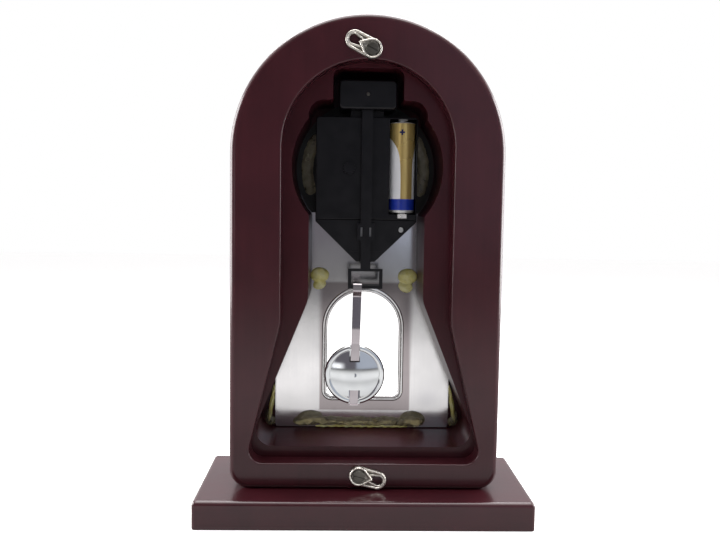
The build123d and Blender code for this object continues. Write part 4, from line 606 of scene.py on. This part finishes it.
def board_lap(material):
    """The foot of the dark board, a thin sheet that laps over the panel's top and follows the bore."""
    radius, low, high, steps = 39.3, 160.6, 171.4, 12
    heights = [low + (high - low) * step / steps for step in range(steps + 1)]
    edge = [(math.sqrt(radius**2 - (DIAL_MIDDLE - z) ** 2), z) for z in heights]
    build = bmesh.new()
    prism(build, edge + [(-x, z) for x, z in edge[::-1]], low_y=-28.68 * MM, high_y=-28.36 * MM)
    keep("dial_board_foot", mesh_of(build, "dial_board_foot"), material, "case", "fibre_board")


# One side edge of the panel, from its foot up: x and z in mm.
PANEL_EDGE = (
    (50.2, 36.6), (50.2, 64.19), (31.12, 111.48), (30.68, 112.75), (30.36, 114.05), (30.16, 115.38),
    (30.1, 116.72), (30.1, 160.4),
)


def panel_lip(material):
    """The lip turned up along the panel's two side edges, which closes the slit beside the wood."""
    inner_out, outer_out = 0.04, 0.46  # how far out from the panel's edge the lip starts and ends, in mm
    low_y, high_y = REAR_FACE - 0.7 * MM, REAR_FACE + 0.55 * MM
    rims = []
    for out in (inner_out, outer_out):
        rim = []
        for index, (x, z) in enumerate(PANEL_EDGE):
            before, after = PANEL_EDGE[max(index - 1, 0)], PANEL_EDGE[min(index + 1, len(PANEL_EDGE) - 1)]
            along = Vector((after[0] - before[0], after[1] - before[1])).normalized()
            rim.append((x + along.y * out, z - along.x * out))
        rims.append(rim)
    around = rims[0] + rims[1][::-1]
    build = bmesh.new()
    for side in (1, -1):
        prism(build, [(side * x, z) for x, z in around], low_y, high_y)
    keep("panel_lip", mesh_of(build, "panel_lip"), material, "case", "panel_metal")


def window_edge(half, corner, sill, spring):
    """Places round the pendulum window, each with its direction away from the opening.

    In mm: half the window's width, its lower corners' radius, and the z of its sill and of its arch's ends.
    """
    places = []
    for centre_x, centre_z, radius, start, end, count in (
        (half - corner, sill + corner, corner, -90, 0, 10),
        (0, spring, half, 0, 180, 80),
        (corner - half, sill + corner, corner, 180, 270, 10),
    ):
        for step in range(count + 1):
            turn = math.radians(start + (end - start) * step / count)
            away = Vector((math.cos(turn), 0, math.sin(turn)))
            places.append((Vector((centre_x, 0, centre_z)) + radius * away, away))
    return places


# The two rounded rings of the window's rim: how far out each lies, its half width and its height, in mm.
RIM_RINGS = ((0.85, 0.75, 0.5), (2.3, 0.7, 0.38))


def window_rim(material):
    """The pressed rim round the pendulum window: two rounded rings with a groove between them."""
    # The rim's section: places by how far out from the window they lie and how high they stand, in mm.
    seat, foot, steps = 0.02, 0.04, 8
    section = [(0.1, seat)]
    for middle, half, height in RIM_RINGS:
        for step in range(steps + 1):
            turn = math.pi * (1 - step / steps)
            section.append((middle + half * math.cos(turn), foot + height * math.sin(turn)))
    section.append((3.1, seat))
    build = bmesh.new()
    rings = []
    for place, away in window_edge(half=20.7, corner=2.9, sill=53.9, spring=94.5):
        points = [
            (place + away * out) * MM + Vector((0, REAR_FACE + height * MM, 0)) for out, height in section
        ]
        rings.append([build.verts.new(point) for point in points])
    for ring, following in zip(rings, rings[1:] + rings[:1]):
        for index in range(len(section)):
            after = (index + 1) % len(section)
            build.faces.new((ring[index], ring[after], following[after], following[index]))
    keep("window_rim", mesh_of(build, "window_rim", smooth=True), material, "case", "panel_metal")


BUTTON_SIDES = 144  # places round a casting
BUTTON_STAND = 1.3  # height of the loop's body over the button's foot, in mm
BUTTON_GAP = 0.15  # clearance between the button's foot and the case's back, in mm
BUTTON_REACH = 20.0  # distance that every outline of the button lies within, in mm
EDGE_ROUND = 0.35  # width of the rounding along a casting's edges, in mm
# The darkness below is painted shade on the casting's underside.
FOOT_PAINTED_SHADE = 0.4  # how dark the underside of a casting is


def ring_of(outline, centre):
    """Points where rays from a centre leave an outline, which is a signed distance."""
    points = []
    for index in range(BUTTON_SIDES):
        turn = 2 * math.pi * index / BUTTON_SIDES
        across, up = math.cos(turn), math.sin(turn)
        near, far = 0.0, BUTTON_REACH
        for _ in range(26):
            middle = (near + far) / 2
            if outline(centre[0] + across * middle, centre[1] + up * middle) < 0:
                near = middle
            else:
                far = middle
        points.append((centre[0] + across * near, centre[1] + up * near))
    return points


def tapered(start, start_radius, end, end_radius):
    """The signed distance to two circles on one line joined by their outer tangents, negative inside."""
    length = end - start
    lean = (start_radius - end_radius) / length
    rise = math.sqrt(1 - lean * lean)

    def distance(across, up):
        """The signed distance from a place to the outline."""
        across, up = across - start, abs(up)
        along = -lean * up + rise * across
        if along < 0:
            return math.hypot(across, up) - start_radius
        if along > rise * length:
            return math.hypot(across - length, up) - end_radius
        return across * lean + up * rise - start_radius

    return distance


def cast_shell(build, layer, outer, inner, height_at, foot, recess_at, shares):
    """A closed casting between two rings of points, or out to one point, with a height over each place."""
    top, bottom = [], []
    for share in shares:
        row_top, row_bottom = [], []
        for outside, inside in zip(outer, inner):
            away = Vector(outside).lerp(Vector(inside), share)
            vertex = build.verts.new((away.x, away.y, height_at(away.x, away.y)))
            vertex[layer] = recess_at(away.x, away.y)
            row_top.append(vertex)
            low = build.verts.new((away.x, away.y, foot))
            low[layer] = FOOT_PAINTED_SHADE
            row_bottom.append(low)
        top.append(row_top)
        bottom.append(row_bottom)
    strips = [(*rows, False) for rows in zip(top, top[1:])]
    strips += [(*rows, True) for rows in zip(bottom, bottom[1:])]
    strips += [(top[0], bottom[0], True), (top[-1], bottom[-1], False)]
    for row, following, flip in strips:
        for index in range(BUTTON_SIDES):
            after = (index + 1) % BUTTON_SIDES
            face = [row[index], row[after], following[after], following[index]]
            build.faces.new(face[::-1] if flip else face)


def bump_over(distance, middle, half):
    """A rounded ridge's share of its height at a distance from an edge."""
    share = (distance - middle) / half
    return math.sqrt(max(0.0, 1 - share * share))


def ground_off(edge):
    """How much of a rounded edge's drop is left at a distance from the edge."""
    return (1 - min(1.0, edge / EDGE_ROUND)) ** 2


def turn_button(name, body, replaced, pivot_x, pivot_z, bearing, material):
    """A cast turn-button: a loop with a rounded rim and lip, and a dished head with a point over it.

    It is built in mm round its pivot, with its length across and its height over its foot, and then stood up.
    """
    loop, window, head = tapered(0, 5.1, 10.0, 4.9), tapered(7.4, 1.6, 10.6, 2.2), tapered(0, 5.1, 6.6, 0.9)

    def rough(across, up, size):
        """Unevenness of the cast surface, in mm."""
        point = Vector((across * 0.9, up * 0.9, pivot_z * 0.37))
        return size * (noise.noise(point) + 0.6 * noise.noise(point * 2.7))

    def loop_height(across, up):
        """Height over the loop, with a ridge along its rim and a lower one along its window."""
        edge, lip = -loop(across, up), window(across, up)
        ridge = max(0.8 * bump_over(edge, 0.75, 0.75), 0.6 * bump_over(lip, 0.6, 0.6))
        rounded = 0.35 * ground_off(edge) + 0.35 * ground_off(lip)
        return BUTTON_STAND - 0.25 + ridge - rounded + rough(across, up, 0.09)

    def loop_recess(across, up):
        """How dark a place on the loop is painted: 0 on its ridges and 1 between them, as painted shade."""
        edge, lip = -loop(across, up), window(across, up)
        return 1 - max(bump_over(edge, 0.75, 0.85), bump_over(lip, 0.6, 0.7))

    def head_height(across, up):
        """Height over the head, with a ridge along its rim round a shallow dish."""
        edge = -head(across, up)
        dish = min(1.0, max(0.0, (edge - 0.9) / 0.8))
        ridge = 0.5 * bump_over(edge, 0.55, 0.62)
        rounded = 0.4 * ground_off(edge)
        return BUTTON_STAND + 1.15 + ridge - 0.45 * dish - rounded + rough(across, up, 0.1 + 0.1 * dish)

    def head_recess(across, up):
        """How dark a place on the head is painted: 0 on its rim and about 0.8, with spots, in its dish, as
        painted shade.
        """
        edge = -head(across, up)
        spots = 0.35 * noise.noise(Vector((across * 1.3, up * 1.3, pivot_z)))
        return min(1.0, max(0.0, (edge - 0.75) / 0.6)) * (0.8 + spots)

    # The rows of each shell, as shares of the way in, lie closer together at its edges.
    build = bmesh.new()
    layer = build.verts.layers.float.new("recess")
    centre = (9.2, 0.0)
    outer, inner = ring_of(loop, centre), ring_of(window, centre)
    shares = [0.0, 0.02, 0.05, 0.09] + [0.13 + 0.74 * step / 26 for step in range(27)]
    shares += [0.91, 0.95, 0.98, 1.0]
    cast_shell(build, layer, outer, inner, loop_height, 0.0, loop_recess, shares)
    centre = (1.0, 0.0)
    outer, inner = ring_of(head, centre), ring_of(tapered(0.9, 0.05, 1.1, 0.05), centre)
    shares = [0.0, 0.03, 0.06, 0.1, 0.14, 0.18] + [0.22 + 0.76 * step / 24 for step in range(25)]
    cast_shell(build, layer, outer, inner, head_height, BUTTON_STAND - 0.5, head_recess, shares)
    lean = math.radians(bearing)
    for vertex in build.verts:
        across, up, height = vertex.co
        vertex.co = (
            (pivot_x + across * math.cos(lean) - up * math.sin(lean)) * MM,
            (CASE_BACK + BUTTON_GAP + height) * MM,
            (pivot_z + across * math.sin(lean) + up * math.cos(lean)) * MM,
        )
    keep(name, mesh_of(build, name, smooth=True), material, body, "cast_nickel", replaced)


NUMBER_SIZE, NUMBER_DEPTH, NUMBER_RADIUS = 7.2, 0.03, 20.4  # in mm
TRACK_TICKS, TRACK_RADIUS, TICK_SIZE = 60, 30.8 * MM, (1.1 * MM, 0.28 * MM, 0.08 * MM)
NUMBER_SINK, TRACK_SINK = 0.2 * MM, 0.22 * MM  # how far behind the front of the raised marks each lies


def dial_numbers(material):
    """Plain hour numbers inside the raised marks."""
    marks_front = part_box("dial_plate")[0].y
    upright = Matrix(((MM, 0, 0, 0), (0, 0, -MM, 0), (0, MM, 0, 0), (0, 0, 0, 1)))
    build = bmesh.new()
    for hour in range(1, 13):
        words = bpy.data.curves.new("hour number", "FONT")
        words.body = str(hour)
        words.size = NUMBER_SIZE
        words.extrude = NUMBER_DEPTH
        words.align_x = words.align_y = "CENTER"
        written = bpy.data.objects.new("hour number", words)
        scene.collection.objects.link(written)
        mesh = shape_of(written)
        bpy.data.objects.remove(written)
        ends = [[vertex.co[axis] for vertex in mesh.vertices] for axis in (0, 1)]
        middle_x, middle_y = [(min(values) + max(values)) / 2 for values in ends]
        turn = math.radians(30 * hour)
        x, z = NUMBER_RADIUS * math.sin(turn), DIAL_MIDDLE + NUMBER_RADIUS * math.cos(turn)
        place = Matrix.Translation((x * MM, marks_front + NUMBER_SINK, z * MM))
        mesh.transform(place @ upright @ Matrix.Translation((-middle_x, -middle_y, 0)))
        build.from_mesh(mesh)
        bpy.data.meshes.remove(mesh)
    bmesh.ops.remove_doubles(build, verts=build.verts, dist=0.001 * MM)
    keep("dial_numbers", mesh_of(build, "dial_numbers"), material, "case", "hand_black")


def track_tree(material):
    """Short ticks at even turns round a circle, which stands upright and faces forward."""
    tree = bpy.data.node_groups.new("minute track", "GeometryNodeTree")
    sizes = {}
    for label, kind, value in (
        ("Ticks", "NodeSocketInt", 60),
        ("Radius", "NodeSocketFloat", 0.03),
        ("Tick", "NodeSocketVector", (0.001, 0.0003, 0.0001)),
        ("Middle", "NodeSocketVector", (0.0, 0.0, 0.0)),
    ):
        socket = tree.interface.new_socket(label, in_out="INPUT", socket_type=kind)
        socket.default_value = value
        sizes[label] = socket.identifier
    tree.interface.new_socket("Track", in_out="OUTPUT", socket_type="NodeSocketGeometry")
    given, result = tree.nodes.new("NodeGroupInput"), tree.nodes.new("NodeGroupOutput")
    asked = given.outputs
    circle = put(tree, "GeometryNodeMeshCircle", {"Vertices": asked["Ticks"], "Radius": asked["Radius"]})
    tick = put(tree, "GeometryNodeMeshCube", {"Size": asked["Tick"]})
    share = sums(tree, "DIVIDE", put(tree, "GeometryNodeInputIndex").outputs[0], asked["Ticks"])
    spin = put(tree, "ShaderNodeCombineXYZ", {2: sums(tree, "MULTIPLY", share, 2 * math.pi)})
    copies = put(
        tree,
        "GeometryNodeInstanceOnPoints",
        {"Points": circle.outputs[0], "Instance": tick.outputs[0], "Rotation": spin.outputs[0]},
    )
    upright = put(
        tree,
        "GeometryNodeTransform",
        {"Geometry": copies.outputs[0], "Rotation": (math.pi / 2, 0, 0), "Translation": asked["Middle"]},
    )
    real = put(tree, "GeometryNodeRealizeInstances", {0: upright.outputs[0]})
    painted = put(tree, "GeometryNodeSetMaterial", {"Geometry": real.outputs[0], "Material": material})
    feed(tree, result, {0: painted.outputs[0]})
    return tree, sizes


def minute_track(material):
    """The dial's ring of minute ticks."""
    tree, sizes = track_tree(material)
    track = bpy.data.objects.new("minute track guide", bpy.data.meshes.new("minute track guide"))
    scene.collection.objects.link(track)
    ticks = track.modifiers.new("track", "NODES")
    ticks.node_group = tree
    ticks[sizes["Ticks"]] = TRACK_TICKS
    ticks[sizes["Radius"]] = TRACK_RADIUS
    ticks[sizes["Tick"]] = TICK_SIZE
    ticks[sizes["Middle"]] = (0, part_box("dial_plate")[0].y + TRACK_SINK, DIAL_MIDDLE * MM)
    mesh = shape_of(track)
    mesh.name = "minute_track"
    guide = track.data
    bpy.data.objects.remove(track)
    bpy.data.meshes.remove(guide)
    keep("minute_track", mesh, material, "case", "hand_black")


# Where the glue lies, as balls in the order that lump_height takes them.
upper_blobs = [
    [(25.6, 124.6, 5.4, 4.4, 2.4, 0), (25.6, 119.2, 3.9, 2.9, 1.2, -20)],
    [(-25.4, 124.2, 5.6, 4.6, 2.4, 0), (-24.2, 118.4, 4.2, 3.3, 1.3, 25)],
]
foot_blobs = [
    (30.4, 40.3, 7.6, 4.5, 2.1, -4), (35.6, 38.4, 4.6, 2.8, 1.5, 0),
    (-29.8, 40.0, 7.4, 4.8, 2.2, 5), (-24.6, 38.4, 4.4, 2.9, 1.4, 0),
]
foot_smear = [(22 - 4.4 * step, 38.6 + 0.5 * math.sin(1.7 * step), 3.6, 2.6, 0.75, 0) for step in range(11)]
corner_pools = [
    [(side * 53.6, 38.7, 3.0, 2.9, 1.5, 0), (side * 54.6, 42.0, 1.8, 3.4, 1.2, 0)] for side in (1, -1)
]
floor_bead = [
    (25.5 - 1.5 * step, 35.5 + 0.2 * math.sin(2.1 * step), 1.7, 0.5 + 0.15 * math.sin(1.3 * step), 1.3, 0)
    for step in range(35)
]
edge_runs = [
    [
        (side * 51.9, 55.0, 1.0, 5.5, 1.9, side * 10),
        (side * 52.9, 48.5, 1.4, 6.5, 2.3, side * 10),
        (side * 53.8, 42.5, 1.2, 4.5, 2.0, side * 10),
    ]
    for side in (1, -1)
]
crescent_radius = 33.3
crescent_line = [
    (crescent_radius * math.cos(turn), crescent_radius * math.sin(turn))
    for turn in (math.radians(-20 + 2.5 * step) for step in range(21))
]
crescents = [[(side * x, DIAL_MIDDLE + z, 3.0, 3.4, 0.8, 0) for x, z in crescent_line] for side in (1, -1)]
amber, aged = finishes["hot_melt_glue"], finishes["aged_glue"]
glue_lumps("panel_glue_lumps", upper_blobs, amber, seed=3.0, replaced=["panel_glue"])
glue_lumps("foot_glue_lumps", [foot_blobs + foot_smear, *corner_pools], aged, seed=5.0)
glue_lumps("floor_glue_runs", [floor_bead, *edge_runs], amber, seed=7.0)
glue_lumps(
    "dial_glue_crescents", crescents, ring_glue, seed=11.0, replaced=["dial_glue"],
    ceiling=0.92, unevenness=0.35,
)
board_lap(finishes["fibre_board"])
window_rim(rim_metal)
panel_lip(rim_metal)
turn_button(
    "upper_button_casting", "upper_button", "upper_turn_button",
    pivot_x=-1.1, pivot_z=243.8, bearing=27, material=casting,
)
turn_button(
    "lower_button_casting", "lower_button", "lower_turn_button",
    pivot_x=2.6, pivot_z=22.7, bearing=194, material=casting,
)
dial_numbers(finishes["hand_black"])
minute_track(finishes["hand_black"])


# Floor, light and camera

# How bright the floor is in reflections, by its y in metres; the camera is on the plus side. These levels are
# painted light and shade: darker under the clock and just in front of it, as its shadow, and fading far off,
# as light falls away.
FLOOR_FADE = (
    (-0.4, 0.9), (-0.06, 0.7), (0.03, 0.7), (0.09, 0.86), (0.15, 0.64),
    (0.21, 0.92), (0.3, 0.96), (0.5, 0.76), (0.778, 0.38), (1.25, 0.12),
)
FLOOR_REACH = 2.2  # half the floor's width, in metres
FLOOR_GLOW = 0.72  # light added to the floor, to the camera only


def stage_floor():
    """A pale floor that reads white to the camera and keeps the shadow under the clock; in reflections it
    shows a painted glow with painted shade instead.
    """
    mesh = bpy.data.meshes.new("floor")
    corners = [(x * FLOOR_REACH, y * FLOOR_REACH, 0) for x, y in ((-1, -1), (1, -1), (1, 1), (-1, 1))]
    mesh.from_pydata(corners, [], [(0, 1, 2, 3)])
    floor = bpy.data.objects.new("floor", mesh)
    scene.collection.objects.link(floor)
    material, tree, shader = new_finish(
        "pale floor", Base_Color=colour(0.8, 0.79, 0.79), Roughness=0.9, Specular_IOR_Level=0.1
    )
    glow = put(tree, "ShaderNodeEmission", {"Color": colour(1, 1, 1), "Strength": FLOOR_GLOW})
    seen = put(tree, "ShaderNodeAddShader", {0: shader.outputs[0], 1: glow.outputs[0]})
    first, last = FLOOR_FADE[0][0], FLOOR_FADE[-1][0]
    ramp = put(tree, "ShaderNodeValToRGB", {0: spread(tree, place_of(tree)[1], first, last)})
    stops = ramp.color_ramp.elements
    for index, (place, level) in enumerate(FLOOR_FADE):
        share = (place - first) / (last - first)
        stop = stops[index] if index < 2 else stops.new(share)
        stop.position = share
        stop.color = colour(level, level * 0.99, level)
    # Painted light: reflections see this glow, with its painted shadow and falloff, in place of the lit
    # floor.
    painted_reflection_glow = put(tree, "ShaderNodeEmission", {"Color": ramp.outputs[0]})
    path = put(tree, "ShaderNodeLightPath").outputs
    glossy = put(
        tree, "ShaderNodeMixShader", {0: path["Is Glossy Ray"], 1: shader.outputs[0], 2: painted_reflection_glow.outputs[0]}
    )
    mixed = put(
        tree, "ShaderNodeMixShader", {0: path["Is Camera Ray"], 1: glossy.outputs[0], 2: seen.outputs[0]}
    )
    feed(tree, tree.nodes["Material Output"], {"Surface": mixed.outputs[0]})
    mesh.materials.append(material)


def room():
    """White all round to the camera and through glass; in reflections, a room round the photographer."""
    world = bpy.data.worlds.new("studio")
    scene.world = world
    world.use_nodes = True
    tree = world.node_tree
    tree.nodes.clear()
    direction = put(tree, "ShaderNodeTexCoord").outputs["Generated"]
    side, along, rise = put(tree, "ShaderNodeSeparateXYZ", {0: direction}).outputs

    # Behind the camera, as the panel mirrors it: dark, grey on the right, a low bright window on the left
    # and paler above.
    grey, dark = colour(0.42, 0.45, 0.53), colour(0.13, 0.12, 0.14)
    near_half = blend_colours(tree, spread(tree, side, -0.1, -0.035, smooth=True), grey, dark)
    window_start = spread(tree, side, 0.2, 0.42, smooth=True)
    window_end = spread(tree, side, 0.68, 0.5, smooth=True)
    window_top = spread(tree, rise, 0.16, 0.04, smooth=True)
    window = sums(tree, "MULTIPLY", sums(tree, "MULTIPLY", window_start, window_end), window_top)
    near_half = blend_colours(tree, window, near_half, colour(1.3, 1.3, 1.35))
    above = spread(tree, rise, 0.38, 0.74, smooth=True)
    near_half = blend_colours(tree, above, near_half, colour(0.66, 0.65, 0.62))

    # Behind the clock: pale. A bright ring runs beside and over the clock, and it is bright overhead.
    towards_camera = spread(tree, along, -0.15, 0.2, smooth=True)
    reflected = blend_colours(tree, towards_camera, colour(0.78, 0.75, 0.77), near_half)
    ring_start = spread(tree, along, -0.5, -0.35, smooth=True)
    ring_end = spread(tree, along, 0.05, -0.05, smooth=True)
    ring = sums(tree, "MULTIPLY", ring_start, ring_end)
    reflected = blend_colours(tree, ring, reflected, colour(2.2, 2.14, 2.17))
    overhead = spread(tree, rise, 0.75, 0.9, smooth=True)
    reflected = blend_colours(tree, overhead, reflected, colour(1.6, 1.57, 1.59))

    path = put(tree, "ShaderNodeLightPath").outputs
    level = blend_colours(tree, path["Is Glossy Ray"], colour(0.3, 0.295, 0.295), reflected)
    white = sums(tree, "MAXIMUM", path["Is Camera Ray"], path["Is Transmission Ray"])
    shown = blend_colours(tree, white, level, colour(1, 1, 1))
    background = put(tree, "ShaderNodeBackground", {"Color": shown, "Strength": 1.0})
    put(tree, "ShaderNodeOutputWorld", {0: background.outputs[0]})


def soft_lamp(name, place, aim, width, height, watts):
    """A rectangular softbox that faces a point."""
    data = bpy.data.lights.new(name, "AREA")
    data.shape = "RECTANGLE"
    data.size, data.size_y = width, height
    data.energy = watts
    lamp = bpy.data.objects.new(name, data)
    lamp.location = place
    lamp.rotation_euler = (Vector(aim) - Vector(place)).to_track_quat("-Z", "Y").to_euler()
    scene.collection.objects.link(lamp)


def turned_by(angle, first, second):
    """Two directions at a right angle, turned in their plane by an angle, the first towards the second."""
    return (
        math.cos(angle) * first + math.sin(angle) * second,
        math.cos(angle) * second - math.sin(angle) * first,
    )


def photo_camera():
    """The camera fitted to the photograph: its place, its three turns and its lens."""
    yaw, pitch, roll = -0.02519, 0.07953, 0.01491
    place = (0.0136249, 0.421480, 0.163588)
    right, up, view = Vector((-1, 0, 0)), Vector((0, 0, 1)), Vector((0, -1, 0))
    right, view = turned_by(yaw, right, view)
    up, view = turned_by(pitch, up, view)
    right, up = turned_by(roll, right, up)
    data = bpy.data.cameras.new("photo camera")
    data.lens = 38.963
    data.sensor_width = 36.0
    data.clip_start, data.clip_end = 0.02, 20.0
    camera = bpy.data.objects.new("photo camera", data)
    camera.matrix_world = Matrix.Translation(place) @ Matrix((right, up, -view)).transposed().to_4x4()
    scene.collection.objects.link(camera)
    scene.camera = camera


stage_floor()
room()
soft_lamp("overhead softbox", (0.0, 0.09, 0.72), (0.0, 0.08, 0.0), width=0.55, height=0.32, watts=2.6)
soft_lamp("back softbox", (0.0, -0.34, 0.70), (0.0, 0.0, 0.12), width=0.7, height=0.5, watts=6.5)
for side in (1, -1):
    soft_lamp("side softbox", (side * 0.6, -0.06, 0.26), (0.0, 0.0, 0.14), width=0.5, height=0.45, watts=6.5)
photo_camera()
